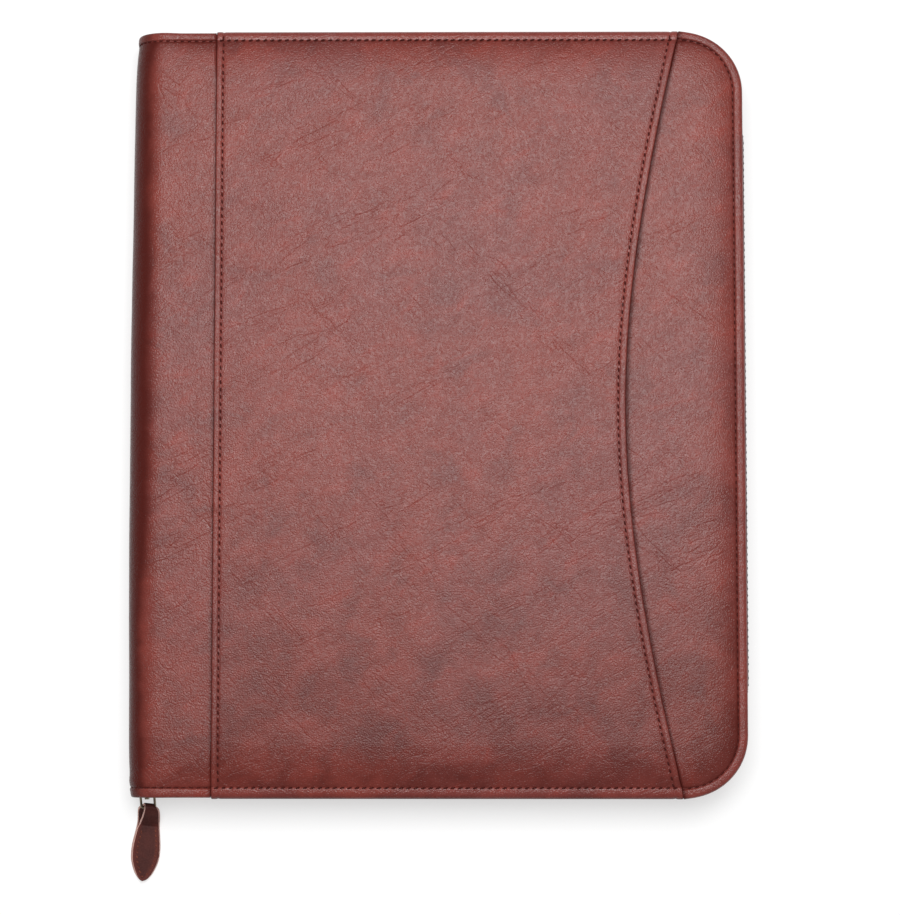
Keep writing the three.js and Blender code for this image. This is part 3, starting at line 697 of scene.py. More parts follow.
def cover_mesh(shape, run_xs, corner_steps, side_ys, place):
    """The edge section swept round three sides, with a grid of points inside it.

    run_xs(y) gives the X places along the top and bottom edges; place turns flat points with their
    inset, height and give into points in space and their darkening values (burnish and painted shade above
    zero, rubbing and painted highlight below it)."""
    count = len(run_xs(HALF_HEIGHT))
    runs, cores, outs = outline_stations(count, corner_steps, side_ys)
    share = top_share(outs[:, 1])
    profile = edge_profile()
    inner = np.array([[CORNER_RADIUS, -COVER_WALL, 0]])
    flat = np.array([[mix(FIELD_INSET, CORNER_RADIUS, k / 3), 0, 0] for k in (1, 2, 3)])
    rows = []
    for number, (inset, height, give) in enumerate(np.vstack([inner, profile, flat])):
        here = narrowed(np.full(len(runs), inset), share)
        x = cores[:, 0] + outs[:, 0] * (CORNER_RADIUS - here)
        y = cores[:, 1] + outs[:, 1] * (CORNER_RADIUS - here)
        on_run = runs >= 0
        for sign in (1, -1):
            this = on_run & (outs[:, 1] == sign)
            level = y[this][0]
            x[this] = run_xs(level)[runs[this]]
        shown = number > HIDDEN_ROWS
        height = height - float(groove(inset)) * shown
        points, wear_and_painted_light = place(x, y, outs, here, np.full(len(x), height), give, shown)
        rows.append(shape.add(points, wear_and_painted_light))
    table = np.array(rows)
    shape.grid(table)
    field = []
    for y in side_ys:
        xs = np.append(run_xs(y), CORE_X)
        zeros = np.zeros(len(xs))
        still = np.zeros((len(xs), 2))
        points, wear_and_painted_light = place(xs, zeros + y, still, zeros + INSIDE, zeros, 0, True)
        field.append(shape.add(points, wear_and_painted_light))
    shape.grid(np.array(field), turned=True)
    # The hidden inner face is closed with long strips between its top and bottom edges
    first = table[0]
    last = len(first) - 1
    for i in range(count - 1):
        shape.fill([first[i], first[last - i], first[last - i - 1], first[i + 1]])
    shape.fill(list(first[count - 1:last - count + 2]))
    # The end by the joint is closed between its outer and inner faces
    top_end = list(table[:, 0])
    field_end = [int(row[0]) for row in field[1:-1]]
    low_end = list(table[:, -1])[::-1]
    shape.fill(top_end + field_end + low_end)


def groove(inset):
    """Depth of the groove that the edge stitches pull into the valley."""
    return GROOVE_DEPTH * hump(inset - ROLL_WIDTH, GROOVE_HALF)


def edge_wear_and_painted_light(x, y, inset, depth_share):
    """Darkening of the front, partly burnish and partly painted shade: strong and broad along the bottom,
    lighter at the top and the right.
    """
    low = np.exp(-np.clip((HALF_HEIGHT - 5 + y) / LOW_BURNISH_AND_SHADE_REACH, 0, None) ** 1.3)
    high = fade(HALF_HEIGHT - 4 - y, TOP_BURNISH_AND_SHADE_REACH) * (y > 0)
    right = fade(HALF_WIDTH - 5 - x, RIGHT_BURNISH_AND_SHADE_REACH)
    # The stitched valley is darkened with painted shade.
    valley = hump(inset - ROLL_WIDTH, 0.4)
    # Bands along the bottom, the top and the right are darker: partly burnish, partly painted shade where
    # the padding falls away and the light fades towards the bottom.
    field = 0.52 * low + 0.6 * high + 0.22 * right
    # The roll's top is lighter, most on the right roll: partly rubbed, partly a painted highlight. Its outer
    # side is darkened with painted shade, most on the bottom roll, which also gets some burnish.
    rubbed = 0.3 + 0.45 * smooth_step(CORE_X, CORE_X + 8, x)
    low_roll_burnish_and_shade = (y < -CORE_Y) * (0.1 + 0.35 * (1 - smooth_step(0.5, 0.9, depth_share)))
    roll = -rubbed + 1.0 * (1 - smooth_step(0.1, 0.7, depth_share)) + low_roll_burnish_and_shade
    return np.clip(np.where(inset < ROLL_WIDTH, roll, field) + 0.25 * valley, -1, 1)


def pucker(phase, away, amount=0.13, reach=1.5):
    """Leather drawn down at the stitch holes and rising between them."""
    return -amount * np.cos(phase) * hump(away, reach)


def edge_puckers(inset):
    """Puckers at the edge stitches, on every second station, for a row of points at their insets."""
    phase = np.arange(len(inset)) * math.pi
    return np.where(inset < PUCKER_INSET, pucker(phase, inset - ROLL_WIDTH), 0)


def front_panel():
    shape = Shape()
    side_ys = np.linspace(CORE_Y, -CORE_Y, 178)
    left = JOINT_X + SEWN_GAP

    def run_xs(y):
        beside = float(mouth_x(y)) + SEAM_GAP
        under = np.linspace(left, beside - 1, 30)
        shown = np.linspace(beside + TUCK_STEP, CORE_X, 16)[:-1]
        return np.concatenate([under, [beside], shown])

    def place(x, y, outs, inset, height, give, outer):
        # On the roll the panel runs on a little under the pocket's edge, and swells out to meet it
        past_mouth = x - mouth_x(y)
        on_edge = (give > 0.3) & (inset < ROLL_WIDTH)
        hidden = past_mouth < SEAM_GAP + TUCK_STEP / 2 - RUN_UNDER * on_edge
        new_inset, new_height = tucked(inset, height, give)
        swell = -SWELL * give * fade(past_mouth, 4) * on_edge
        shift = np.where(inset < INSIDE, np.where(hidden, new_inset - inset, swell), 0)
        placed_y = y - outs[:, 1] * shift
        z = SHELL_THICKNESS + np.where(hidden, new_height, height)
        if outer:
            z = z + field_wave(x, y) * smooth_step(ROLL_WIDTH, WAVE_INSET, inset) + edge_puckers(inset)
        wear_and_painted_light = edge_wear_and_painted_light(x, y, inset, (z - COVER_UNDERSIDE) / ROLL_THICKNESS)
        # Beside the pocket's mouth the crescent is darkened with a painted shadow of the fold.
        return np.stack([x, placed_y, z], axis=1), np.maximum(wear_and_painted_light, fade(past_mouth - 0.5, 1.2))

    cover_mesh(shape, run_xs, 22, side_ys, place)
    return shape.build("front_panel", [panel_leather], ["front_cover"], weld=0.01)


def spine_wear_and_painted_light(back, y, inset, height, beyond, angle):
    """Darkening of the wrap: a dark band round the spine's side (partly burnish, partly painted shade), dark
    edges, and an even tone on the back.
    """
    foot = smooth_step(FOOT_FROM_Y, FOOT_TO_Y, y)
    from_top = (math.pi - angle) * MID_HEIGHT
    # The band on the spine's rounded side, which turns away from the light, and the slight darkening beside
    # it are partly burnish and partly painted shade.
    band = smooth_step(3 * foot, BAND_REACH + 2.5 * foot, from_top)
    beside_spine = 0.1 * hump(beyond, 5) * (angle > math.pi / 2)
    wear_and_painted_light = edge_wear_and_painted_light(SEAM_X, y, inset, (height + COVER_WALL) / ROLL_THICKNESS)
    # The bottom edge is a little darker still, partly burnish and partly painted shade.
    wear_and_painted_light = wear_and_painted_light + np.maximum(band, beside_spine) + 0.12 * (y < -CORE_Y)
    # The darkening along the bottom, partly burnish and partly painted shade, is lighter on the strip than
    # on the pocket
    wear_and_painted_light = wear_and_painted_light - 0.25 * foot * (inset > ROLL_WIDTH)
    wear_and_painted_light = np.where(back, BACK_WEAR, np.clip(wear_and_painted_light, -1, 1))
    # Painted shadow on the strip beside the pocket's lapped seam edge.
    seam_shadow = fade(SEAM_X - SPINE_CENTRE_X - beyond, 1.2) * (beyond > 0)
    return np.maximum(wear_and_painted_light, 0.75 * seam_shadow)


def spine_wrap():
    """Front strip, round spine and back cover in one; laid out flat along u and bent round."""
    shape = Shape()
    arc = math.pi * MID_HEIGHT
    front_start = SPINE_CENTRE_X - arc
    beside = SEAM_X - SEAM_GAP

    def laid_out(x):
        return front_start - (np.asarray(x) - SPINE_CENTRE_X)

    us = np.concatenate([
        [laid_out(JOINT_X), laid_out(beside)],
        laid_out(np.linspace(beside - TUCK_STEP, SPINE_CENTRE_X + 1.6, 15)),
        np.linspace(front_start, SPINE_CENTRE_X, 29),
        SPINE_CENTRE_X + np.linspace(1.5, SPINE_BLEND, 5),
        np.linspace(SPINE_CENTRE_X + SPINE_BLEND + 3, CORE_X, 68)[:-1],
    ])

    def place(u, y, outs, inset, height, give, outer):
        lapped = u < laid_out(beside - TUCK_STEP / 2)
        new_inset, new_height = tucked(inset, height, give)
        shift = np.where(lapped & (inset < INSIDE), new_inset - inset, 0)
        placed_y = y - outs[:, 1] * shift
        away = np.abs(u - (SPINE_CENTRE_X - arc / 2)) - arc / 2
        wall = mix(SPINE_WALL / COVER_WALL, 1, smooth_step(0, SPINE_BLEND, away))
        depth = np.where(lapped, new_height, height) * wall
        angle = np.clip((SPINE_CENTRE_X - u) / MID_HEIGHT, 0, math.pi)
        beyond = np.maximum(front_start - u, 0)
        if outer:
            x_flat = SPINE_CENTRE_X + beyond
            wave = field_wave(x_flat, y + 3 * angle) * smooth_step(ROLL_WIDTH, WAVE_INSET, inset)
            depth = depth + np.where(u < SPINE_CENTRE_X, wave + edge_puckers(inset), 0)
            # The leather flares a little where it is pinched by the stitches at the foot of the spine
            depth = depth + FLARE * hump(placed_y - FLARE_Y, 3) * np.sin(angle) ** 2
            # The padding makes the spine a little squarer than round, most of all at its foot
            squareness = SQUARENESS + FOOT_SQUARENESS * smooth_step(0, SQUARE_AT_Y, placed_y)
            depth = depth + squareness * np.sin(2 * angle) ** 2 * (angle > math.pi / 2)
        radius = MID_HEIGHT + depth
        bow = SPINE_BOW * (1 - (placed_y / HALF_HEIGHT) ** 2)
        round_x = SPINE_CENTRE_X - (radius + bow) * np.sin(angle) + beyond
        round_z = MID_HEIGHT - radius * np.cos(angle)
        back = u >= SPINE_CENTRE_X
        x = np.where(back, u, round_x)
        z = np.where(back, -depth, round_z)
        return np.stack([x, placed_y, z], axis=1), spine_wear_and_painted_light(back, y, inset, height, beyond, angle)

    cover_mesh(shape, lambda y: us, 14, np.linspace(CORE_Y, -CORE_Y, 142), place)
    return shape.build("spine_wrap", [spine_leather], ["spine_and_back"], weld=0.01)


# Pocket panel

def pocket_section():
    """The panel's path over the cover from its turned top end to its turned bottom end.

    Each point has y, z, the direction away from the cover, and its inset from the case's edge."""
    profile = edge_profile()[SECTION_STEPS:]
    inset, height = tucked(profile[:, 0], profile[:, 1], profile[:, 2])
    level = HALF_HEIGHT - FIELD_INSET
    field_ys = np.linspace(level, -level, int(round(2 * level / (STITCH_PITCH / 2))) + 1)[1:-1]
    top_inset = narrowed(profile[:, 0], 1.0) + inset - profile[:, 0]
    ys = np.concatenate([HALF_HEIGHT - top_inset, field_ys, (inset - HALF_HEIGHT)[::-1]])
    zs = SHELL_THICKNESS + np.concatenate([height, 0 * field_ys, height[::-1]])
    insets = np.concatenate([profile[:, 0], 0 * field_ys + INSIDE, profile[::-1, 0]])
    line = np.stack([ys, zs], axis=1)
    ahead = along_path(line)
    away = np.stack([ahead[:, 1], -ahead[:, 0]], axis=1)
    return line, away, insets


def pocket():
    line, away, insets = pocket_section()
    hem = smooth_line(HEM_SECTION, 3)
    field_count = 120
    rows = len(line)
    ys = line[:, 0]
    mouths = mouth_x(ys)
    seam_end = SEAM_X + hem[-1, 0] * SEAM_HEM
    mouth_end = mouths - hem[-1, 0] * MOUTH_HEM
    columns = [(np.full(rows, SEAM_X + a * SEAM_HEM), lift * HEM_RISE, a) for a, lift in hem]
    for i in range(1, field_count):
        columns.append((mix(seam_end, mouth_end, i / field_count), 0.0, INSIDE))
    columns += [(mouths - a * MOUTH_HEM, lift * HEM_RISE, a) for a, lift in hem[::-1]]
    # Over the roll the hem is hammered flatter
    flattened = mix(0.45, 1.0, smooth_step(ROLL_WIDTH - 1, ROLL_WIDTH + 2, insets))
    along_y = ys * 2 * math.pi / STITCH_PITCH
    shape = Shape()
    outer_table, inner_table = [], []
    for number, (xs, lift, across) in enumerate(columns):
        drawn = pucker(number * math.pi, insets - ROLL_WIDTH) - groove(insets)
        hem_drawn = pucker(along_y, (across - 1) * HEM_WIDTH, 0.1, 1.0) * (insets > 8)
        hem_groove = 0.16 * hump(across - 1, 0.15)
        out = SEWN_GAP + POCKET_LEATHER + lift * flattened + drawn + hem_drawn - hem_groove
        wave = field_wave(xs, ys) * smooth_step(ROLL_WIDTH, WAVE_INSET, insets)
        flat = line + away * out[:, None]
        outer = np.stack([xs, flat[:, 0], flat[:, 1] + wave], axis=1)
        flat = line + away * SEWN_GAP
        inner = np.stack([xs, flat[:, 0], flat[:, 1] + wave], axis=1)
        wear_and_painted_light = edge_wear_and_painted_light(xs * 0, ys, insets, (line[:, 1] - COVER_UNDERSIDE) / ROLL_THICKNESS)
        # The hem is darkened with painted shade on its turned-down fold and in its stitch groove, and
        # lightened along its raised middle, partly rubbed and partly a painted highlight.
        if across < 2:
            hem_fold_and_groove_shade = 0.3 * hump(across - 1, 0.2) + 1.2 * hump(across, 0.15)
            wear_and_painted_light = np.maximum(wear_and_painted_light - 0.12 * hump(across - 0.5, 0.3), hem_fold_and_groove_shade - 0.3)
        outer_table.append(shape.add(outer, wear_and_painted_light))
        inner_table.append(shape.add(inner, 0.3))
    outer_table, inner_table = np.array(outer_table), np.array(inner_table)
    shape.grid(outer_table)
    shape.grid(inner_table, turned=True)
    for edge in (0, -1):
        shape.grid(np.stack([outer_table[edge], inner_table[edge]]), turned=edge == 0)
        shape.grid(np.stack([outer_table[:, edge], inner_table[:, edge]]), turned=edge == -1)
    return shape.build("pocket_leather_panel", [panel_leather], ["pocket_panel"],
                       weld=0.001)


# Stitches

def surface_tree(*pieces):
    points, faces = [], []
    for piece in pieces:
        start = len(points)
        points.extend(vertex.co.copy() for vertex in piece.data.vertices)
        faces.extend([start + number for number in polygon.vertices] for polygon in piece.data.polygons)
    return BVHTree.FromPolygons(points, faces)


def add_stitch(shape, centre, along, normal, length=STITCH_LENGTH, radius=THREAD_RADIUS, slant=0.2):
    side = normal.cross(along).normalized()
    along = (along + side * slant).normalized()
    side = normal.cross(along).normalized()
    rise = normal * radius / THREAD_RADIUS
    centres = [centre + along * share * length + rise * height for share, height, _ in STITCH_SECTION]
    ring_tube(shape, centres, normal, [radius * thick for _, _, thick in STITCH_SECTION], side)


def stitch_row(shape, tree, points, directions, reach=8.0, **form):
    """One stitch at each point; it is set on the leather that lies along its direction."""
    for i, (point, direction) in enumerate(zip(points, directions)):
        before = points[max(i - 1, 0)]
        after = points[min(i + 1, len(points) - 1)]
        along = Vector(after) - Vector(before)
        direction = Vector(direction)
        start = Vector(point) - direction * reach
        hit = tree.ray_cast(start * MM, direction, 2 * reach * MM)[0]
        if hit is None:
            continue
        out = -direction
        along = (along - out * along.dot(out)).normalized()
        add_stitch(shape, hit / MM, along, out, **form)


def spaced(path, pitch, start=0.5):
    """Points along a path, one pitch apart, and nothing over its ends."""
    path = np.asarray(path, float)
    lengths = np.linalg.norm(np.diff(path, axis=0), axis=1)
    total = np.concatenate([[0], np.cumsum(lengths)])
    places = np.arange(start * pitch, total[-1] - 0.4 * pitch, pitch)
    return np.stack([np.interp(places, total, path[:, k]) for k in range(path.shape[1])], axis=1)


def corner_points(sign, count, inset_at):
    """Plan of a line round the top right corner (sign 1) or the bottom right one (-1), going clockwise."""
    points = []
    for angle in np.linspace(0, math.pi / 2, count):
        radius = CORNER_RADIUS - inset_at(angle)
        across, up = math.sin(angle), math.cos(angle)
        if sign < 0:
            across, up = up, across
        points.append((CORE_X + radius * across, sign * (CORE_Y + radius * up)))
    return points


def valley_corners():
    """The stitch line round both right corners; the roll beside it is narrower at the top."""
    def top_inset(angle):
        return float(mix(ROLL_WIDTH, TOP_ROLL_WIDTH, top_share(math.cos(angle))))

    return corner_points(1, 24, top_inset) + corner_points(-1, 24, lambda angle: ROLL_WIDTH)


def crescent_line():
    """The stitch line of the front panel from the mouth's top end round the corners to its bottom end."""
    start = float(mouth_x(HALF_HEIGHT)) + 1.2
    points = [(x, HALF_HEIGHT - TOP_ROLL_WIDTH) for x in np.arange(start, CORE_X, 1.0)]
    points += valley_corners()
    points += [(x, -HALF_HEIGHT + ROLL_WIDTH) for x in np.arange(CORE_X, start, -1.0)]
    return points


def front_stitches(tree):
    shape = Shape()
    lines = [crescent_line()]
    ends = float(mouth_x(HALF_HEIGHT - 4))
    for width, sign in ((TOP_ROLL_WIDTH, 1), (ROLL_WIDTH, -1)):
        y = sign * (HALF_HEIGHT - width)
        lines.append([(SEAM_X + 0.6, y), (ends, y)])
        lines.append([(SPINE_CENTRE_X, y), (SEAM_X - 0.6, y)])
    reach = HALF_HEIGHT - 1.2
    seam_line = SEAM_X + SEAM_HEM
    lines.append([(seam_line, reach), (seam_line, -reach)])
    lines.append([(float(mouth_x(y)) - MOUTH_HEM, y) for y in np.linspace(reach, -reach, 120)])
    for line in lines:
        places = spaced([(x, y, SHELL_THICKNESS) for x, y in line], STITCH_PITCH)
        stitch_row(shape, tree, places, [(0, 0, -1)] * len(places))
    # The edge stitches go on round the spine
    for width, sign in ((TOP_ROLL_WIDTH, 1), (ROLL_WIDTH, -1)):
        y = sign * (HALF_HEIGHT - width)
        angles = np.arange(0.5 * STITCH_PITCH, math.pi * MID_HEIGHT, STITCH_PITCH) / MID_HEIGHT
        points, directions = [], []
        for angle in angles:
            out = Vector((-math.sin(angle), 0, math.cos(angle)))
            centre = Vector((SPINE_CENTRE_X, y, MID_HEIGHT))
            points.append(tuple(centre + out * MID_HEIGHT))
            directions.append(tuple(-out))
        stitch_row(shape, tree, points, directions, reach=5.0)
    return shape.build("front_stitches", [dark_thread])


def back_stitches(tree):
    shape = Shape()
    line = [(SPINE_CENTRE_X, HALF_HEIGHT - TOP_ROLL_WIDTH)]
    line += valley_corners()
    line.append((SPINE_CENTRE_X, -HALF_HEIGHT + ROLL_WIDTH))
    places = spaced([(x, y, 0) for x, y in line], STITCH_PITCH)
    stitch_row(shape, tree, places, [(0, 0, 1)] * len(places))
    return shape.build("back_stitches", [dark_thread])


# Zip

def zip_path(inset, bulge, start_x):
    """Plan of a line at an inset from the covers' edge, with its share of the side's bulge."""
    run_xs = np.linspace(start_x, CORE_X, 58)[:-1]
    points = [(x, HALF_HEIGHT - inset) for x in run_xs]
    points += corner_points(1, 15, lambda angle: inset)
    for y in np.linspace(CORE_Y, -CORE_Y, 72)[1:-1]:
        points.append((HALF_WIDTH - inset + bulge * SIDE_BULGE * float(side_bulge(y)), y))
    points += corner_points(-1, 15, lambda angle: inset)
    points += [(x, inset - HALF_HEIGHT) for x in run_xs[::-1]]
    return np.array(points)


def spine_limit(z):
    """X of the spine's inner face at a height."""
    up = min(abs(z - MID_HEIGHT), SPINE_INNER_RADIUS - 0.2)
    return SPINE_CENTRE_X - math.sqrt(SPINE_INNER_RADIUS ** 2 - up ** 2) + 0.3


def tape(name, side, node):
    half = TAPE_THICKNESS / 2
    flange_z = COVER_UNDERSIDE - SEWN_GAP - half
    chain_top = MID_HEIGHT + CHAIN_WIDTH / 2 + SEWN_GAP
    middle = smooth_line([
        (CHAIN_INSET + TAPE_FLANGE, flange_z, 0),
        (CHAIN_INSET + 2 * TAPE_STAND / 3, flange_z, 0.05),
        (CHAIN_INSET + TAPE_STAND / 6, flange_z - TAPE_STAND / 3, 0.35),
        (CHAIN_INSET, flange_z - TAPE_STAND, 0.8),
        (CHAIN_INSET, chain_top, 1),
    ], 3)
    ahead = along_path(middle[:, :2])
    section = []
    for sign in (1, -1):
        part = [(m[0] + a[1] * half * sign, m[1] - a[0] * half * sign, m[2]) for m, a in zip(middle, ahead)]
        section += part if sign > 0 else part[::-1]
    shape = Shape()
    rows = []
    for inset, z, bulge in section:
        height = z if side > 0 else SHELL_THICKNESS - z
        plan = zip_path(inset, bulge, spine_limit(height))
        ripple = 0.12 * np.sin(np.arange(len(plan)) * 1.7) * bulge
        heights = np.full(len(plan), height) + ripple * (1 if side > 0 else -1) * 0.3
        rows.append(shape.add(np.stack([plan[:, 0], plan[:, 1], heights], axis=1)))
    table = np.array(rows + rows[:1])
    shape.grid(table, turned=side > 0)
    shape.fill_ends(rows)
    return shape.build(name, [tape_weave], [node], weld=0.001)


def outward(point, forward):
    """Direction in plan square to the chain's path and away from a place well inside the case."""
    out = Vector((-forward[1], forward[0], 0))
    inside_x = -40
    return out if out.dot(Vector((point[0] - inside_x, point[1], 0))) >= 0 else -out


def coil():
    """The closed chain: two rows of nylon coil whose heads mesh, on a woven core, sewn along both edges."""
    shape = Shape()
    start_x = spine_limit(MID_HEIGHT) + CHAIN_START
    plan = zip_path(CHAIN_INSET, 1, start_x)
    # Core band
    core = []
    half = CHAIN_WIDTH / 2
    for out, up in ((-0.9, -half), (-0.9, half), (0.15, half), (0.15, -half)):
        line = zip_path(CHAIN_INSET - out, 1, start_x)
        core.append(shape.add(np.column_stack([line, np.full(len(line), MID_HEIGHT + up)])))
    shape.grid(np.array(core + core[:1]), material=1)
    shape.fill_ends(core, material=1)
    # Teeth
    path = spaced(np.column_stack([plan, np.zeros(len(plan))]), TOOTH_PITCH / 2)
    for i, (point, forward) in enumerate(zip(path, along_path(path))):
        out = outward(point, forward)
        up = Vector((0, 0, 1 if i % 2 else -1))
        base = Vector((point[0], point[1], MID_HEIGHT)) + out * 0.25
        centres = [
            base - up * 2.6 - out * 0.35,
            base - up * 2.2,
            base - up * 0.9 + out * 0.08,
            base + up * 0.15 + out * 0.08,
            base + up * 0.55,
            base + up * 0.8 - out * 0.25,
        ]
        radii = [0.26, 0.34, 0.34, 0.38, 0.42, 0.25]
        ring_tube(shape, centres, out, radii, Vector(forward))
    # Threads that hold the coil
    for sign in (1, -1):
        for k in range(0, len(path) - 3, 4):
            first, last = Vector(path[k]), Vector(path[k + 3])
            forward = (last - first).normalized()
            out = outward(first, forward)
            centre = (first + last) / 2 + Vector((0, 0, MID_HEIGHT + sign * 1.75)) + out * 0.6
            centres = [centre - forward * 1.2 - out * 0.3, centre, centre + forward * 1.2 - out * 0.3]
            ring_tube(shape, centres, out, [0.12, 0.2, 0.12], Vector((0, 0, 1)), sides=5)
    return shape.build("zip_coil_chain", [coil_nylon, tape_weave], ["zip_teeth"])


# Link and pull

def link_bars():
    low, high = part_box("pull_link")
    wire = WIRE_DIAMETER / 2
    middle_x = (low[0] + high[0]) / 2 / MM
    upper = Vector((middle_x, high[1] / MM - wire, high[2] / MM - wire))
    down = Vector((0, -math.cos(LINK_SLOPE), -math.sin(LINK_SLOPE)))
    return upper, upper + down * LINK_LENGTH, down


upper_bar, lower_bar, down_link = link_bars()


def wire_link():
    upper, down = upper_bar, down_link
    across = Vector((1, 0, 0))
    half = LINK_WIDTH / 2
    bend = LINK_WIDTH / 4
    centres = []
    corners = [(half, 0), (half, LINK_LENGTH), (-half, LINK_LENGTH), (-half, 0)]
    for i, corner in enumerate(corners):
        before, after = corners[i - 1], corners[(i + 1) % 4]
        to_before = (Vector(before) - Vector(corner)).normalized() * bend
        to_after = (Vector(after) - Vector(corner)).normalized() * bend
        for k in range(9):
            t = k / 8
            flat = Vector(corner) + to_before * (1 - t) ** 2 + to_after * t ** 2
            centres.append(upper + across * flat[0] + down * flat[1])
    shape = Shape()
    radii = [WIRE_DIAMETER / 2] * len(centres)
    ring_tube(shape, centres, across.cross(down).normalized(), radii, sides=14, closed=True)
    return shape.build("wire_link", [slider_metal], ["pull_link"])


def tab_half(along):
    outline = smooth_line([(0, 0.34)] + TAB_OUTLINE, 5)
    return np.interp(along, outline[:, 0], outline[:, 1]) * TAB_WIDTH / 2


def tab_place(across, along_y, z):
    """A point of the pull, given from the link's lower bar, turned with the pull."""
    turned = Matrix.Rotation(TAB_TURN, 3, "Z") @ Vector((across, along_y, 0))
    return (lower_bar.x + turned.x, lower_bar.y + turned.y, z)


def pull_path():
    """Side view of the folded strip: distance from the bar, height, and 0 to 1 from lower to upper layer."""
    bar_z = lower_bar.z
    mid_radius = WIRE_DIAMETER / 2 + RUNNING_GAP + TAB_LEATHER / 2
    loop_end = mid_radius + TAB_LEATHER / 2
    tip = loop_end - TAB_LENGTH
    glued = loop_end - TAB_LENGTH * TAB_GLUED_FROM

    def on_loop(angle):
        bend = math.radians(angle)
        return mid_radius * math.cos(bend), bar_z + mid_radius * math.sin(bend)

    low, high = TAB_LEATHER / 2, TAB_LEATHER * 1.5
    rounding = np.sin(np.linspace(0, math.pi / 2, 34))
    path = [(mix(glued + 1, tip, t), low, 0) for t in rounding[::-1]]
    rise = smooth_line([
        (glued + 1, low),
        (glued + 3.2, low + 0.5),
        (glued + 6, bar_z * 0.5),
        on_loop(-70),
    ], 5)
    path += [(y, z, 0) for y, z in rise[1:-1]]
    path += [(*on_loop(angle), (angle + 70) / 180) for angle in np.linspace(-70, 110, 16)]
    fall = smooth_line([
        on_loop(110),
        (-2.7, bar_z - 0.1),
        (-4.7, bar_z * 0.68),
        (glued + 0.9, high + 0.75),
        (glued, high + 0.08),
        (glued - 1.4, high),
    ], 5)
    path += [(y, z, 1) for y, z in fall[1:]]
    path += [(mix(glued - 1.4, tip, t), high, 1) for t in rounding[1:]]
    return np.array(path), loop_end, glued


def pull():
    """A strip of leather folded through the link: lower layer, loop and upper layer."""
    line, loop_end, glued = pull_path()
    ahead = along_path(line[:, :2])
    normal = np.stack([ahead[:, 1], -ahead[:, 0]], axis=1)
    right_half = [0.3, 0.6, 0.8, 0.93, 0.985, 1]
    across_steps = np.array([-step for step in right_half[::-1]] + [0] + right_half)
    half_leather = TAB_LEATHER / 2
    shape = Shape()
    rows = []
    for (y, z, layer), out in zip(line, normal):
        along = (loop_end - y) / TAB_LENGTH
        half = max(float(tab_half(along)), 0.04)
        # Near the loop the upper layer is cut back at the left and the lower one stands out beside it
        open_end = 1 - float(smooth_step(0.08, 0.36, along))
        cut_back = TAB_CUT_BACK * layer * min(half / 5, 1)
        left = half - open_end * cut_back + open_end * 0.2 * (1 - layer)
        right = half + open_end * 0.3 * layer
        rings = []
        for face in (1, -1):
            # The cut edges slope, more at the left, so that they show from above
            upward = (face if layer > 0.5 else -face) * 0.25 + 0.25 + 0.5 * layer
            slope = min(half / 4, 1)
            left_reach = left - TAB_LEFT_SLOPE * upward * slope
            right_reach = right - TAB_RIGHT_SLOPE * upward * slope
            x = across_steps * np.where(across_steps < 0, left_reach, right_reach)
            edge = np.abs(across_steps) > 0.95
            height = half_leather - 0.1 * edge - 0.06 * (np.abs(across_steps) == 1)
            if face > 0 and layer > 0.5 and along > TAB_GLUED_FROM:
                inside = half - np.abs(x)
                height = height + 0.12 * np.cos(x / max(half, 0.1) * 1.4)
                height = height - 0.2 * hump(inside - 1.5, 0.5) * slope - 0.22 * hump(y - glued, 0.3)
            points = [tab_place(a, y + out[0] * face * h, z + out[1] * face * h) for a, h in zip(x, height)]
            worn = 0.75 * hump(half - np.abs(x) - 1.3, 0.9) * (along > 0.25)
            rings.append((points, worn))
        (outer, outer_wear), (inner, inner_wear) = rings
        rows.append(shape.add(outer + inner[::-1], np.concatenate([outer_wear, inner_wear[::-1]])))
    count = len(across_steps)
    table = np.array([np.append(row, row[0]) for row in rows])
    shape.grid(table[:, :count])
    shape.grid(table[:, count - 1:count + 1], material=1)
    shape.grid(table[:, count:2 * count])
    shape.grid(table[:, 2 * count - 1:], material=1)
    shape.fill(rows[0][::-1], material=1)
    shape.fill(rows[-1], material=1)
    return shape.build("leather_pull", [pull_leather, cut_edge], ["pull_tab"])


def pull_stitches(tree):
    _, loop_end, _ = pull_path()
    right, left = [], []
    for along in np.linspace(TAB_GLUED_FROM + 0.03, 0.9, 60):
        half = float(tab_half(along))
        y = loop_end - along * TAB_LENGTH
        right.append(tab_place(max(half - TAB_RIGHT_MARGIN, 0.5), y, 3))
        left.append(tab_place(-max(half - TAB_LEFT_MARGIN, 0.5), y, 3))
    foot = tab_place(0, loop_end - 0.94 * TAB_LENGTH, 3)
    places = spaced(right + [foot] + left[::-1], TAB_STITCH_PITCH)
    shape = Shape()
    down = [(0, 0, -1)] * len(places)
    stitch_row(shape, tree, places, down, reach=6.0, length=1.6, radius=0.26, slant=0.3)
    # A loose end of thread at the right edge
    start = Vector(tab_place(5.4, loop_end - 0.7 * TAB_LENGTH, 2.7))
    curve = [(0, 0, 0), (0.7, 0.4, 0.2), (1.1, 1.2, 0.25), (0.9, 2.0, 0.1), (0.2, 2.4, -0.05)]
    centres = [start + Vector(tuple(point)) for point in smooth_line(curve, 4)]
    ring_tube(shape, centres, Vector((0, 0, 1)), [0.12] * len(centres))
    return shape.build("pull_stitches", [pull_thread])


def slider():
    """The solid slider, with its edges rounded off."""
    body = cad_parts["zip_slider"]
    body.data.materials.clear()
    body.data.materials.append(slider_metal)
    for slot in body.material_slots:
        slot.material = slider_metal
    joined = body.modifiers.new("weld", "WELD")
    joined.merge_threshold = 0.01 * MM
    rounding = body.modifiers.new("rounding", "BEVEL")
    rounding.width = 0.22 * MM
    rounding.segments = 3
    rounding.limit_method = "ANGLE"


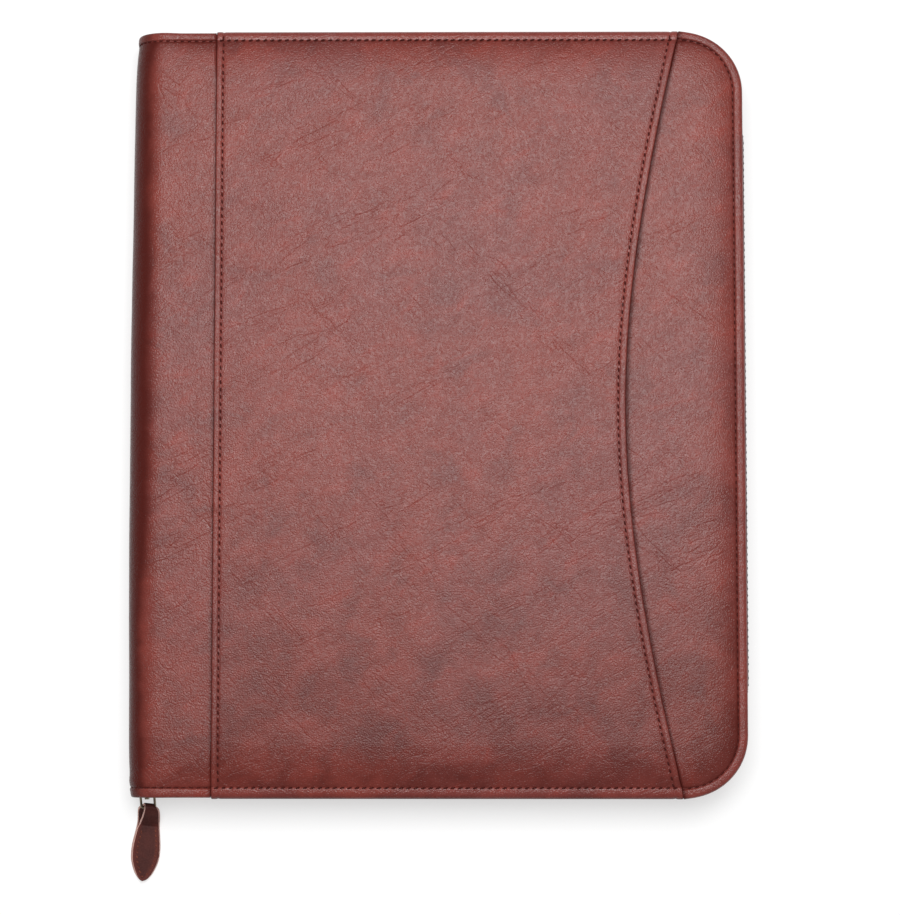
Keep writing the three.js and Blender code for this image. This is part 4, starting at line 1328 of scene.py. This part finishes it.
panel = front_panel()
wrap = spine_wrap()
pocket_piece = pocket()
stitched_on = surface_tree(panel, wrap, pocket_piece)
front_stitches(stitched_on)
back_stitches(stitched_on)
tape("front_tape", 1, "zip_tape_front")
tape("back_tape", -1, "zip_tape_back")
coil()
wire_link()
pull_piece = pull()
pull_stitches(surface_tree(pull_piece))
slider()


# Floor, light and camera

def pale_floor():
    material, _, shader = new_material("floor_paper")
    shader.inputs["Base Color"].default_value = (0.42, 0.42, 0.42, 1)
    shader.inputs["Emission Color"].default_value = (1, 1, 1, 1)
    shader.inputs["Emission Strength"].default_value = 0.6
    shader.inputs["Roughness"].default_value = 0.9
    shader.inputs["Specular IOR Level"].default_value = 0.1
    bpy.ops.mesh.primitive_plane_add(size=12, location=(0, 0, -0.00005))
    floor = bpy.context.object
    floor.name = "floor"
    floor.data.materials.append(material)
    floor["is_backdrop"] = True


def soft_light(name, place, size, power):
    """A broad lamp that is turned to the middle of the part."""
    data = bpy.data.lights.new(name, "AREA")
    data.shape = "RECTANGLE"
    data.size, data.size_y = size
    data.energy = power
    light = bpy.data.objects.new(name, data)
    light.location = place
    light.rotation_euler = (-Vector(place)).to_track_quat("-Z", "Y").to_euler()
    bpy.context.scene.collection.objects.link(light)


def studio():
    world = bpy.data.worlds.new("studio")
    world.use_nodes = True
    background = world.node_tree.nodes["Background"]
    background.inputs["Color"].default_value = (1, 1, 1, 1)
    background.inputs["Strength"].default_value = 0.3
    bpy.context.scene.world = world
    soft_light("overhead", (0.03, 0.29, 1.3), (0.85, 0.75), 17.5)
    bpy.context.scene.view_settings.view_transform = "Standard"


# The camera looks almost straight down, from a little nearer the foot of the case
CAMERA_AIM = Vector((5.39, -20.65, 24))
CAMERA_DISTANCE = 1278.5
CAMERA_TILT = math.radians(5.51)
CAMERA_LEAN = math.radians(0.5)
CAMERA_ROLL = math.radians(-0.026)
FRAME_HEIGHT = 915
MM_A_PIXEL = 0.4371
SENSOR = 36


def photo_camera():
    data = bpy.data.cameras.new("camera")
    data.sensor_fit = "VERTICAL"
    data.sensor_height = SENSOR
    data.lens = SENSOR * CAMERA_DISTANCE / (FRAME_HEIGHT * MM_A_PIXEL)
    data.clip_start = 0.05
    data.clip_end = 20
    camera = bpy.data.objects.new("camera", data)
    turn = Matrix.Rotation(CAMERA_TILT, 4, "X") @ Matrix.Rotation(CAMERA_LEAN, 4, "Y")
    turn = turn @ Matrix.Rotation(CAMERA_ROLL, 4, "Z")
    back = turn.to_3x3() @ Vector((0, 0, 1))
    camera.matrix_world = Matrix.Translation((CAMERA_AIM + back * CAMERA_DISTANCE) * MM) @ turn
    bpy.context.scene.collection.objects.link(camera)
    bpy.context.scene.camera = camera


pale_floor()
studio()
photo_camera()

bpy.context.view_layer.update()
boxes = {"cad": cad_box, "visual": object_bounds()}
{name: [list(corner) for corner in corners] for name, corners in boxes.items()}
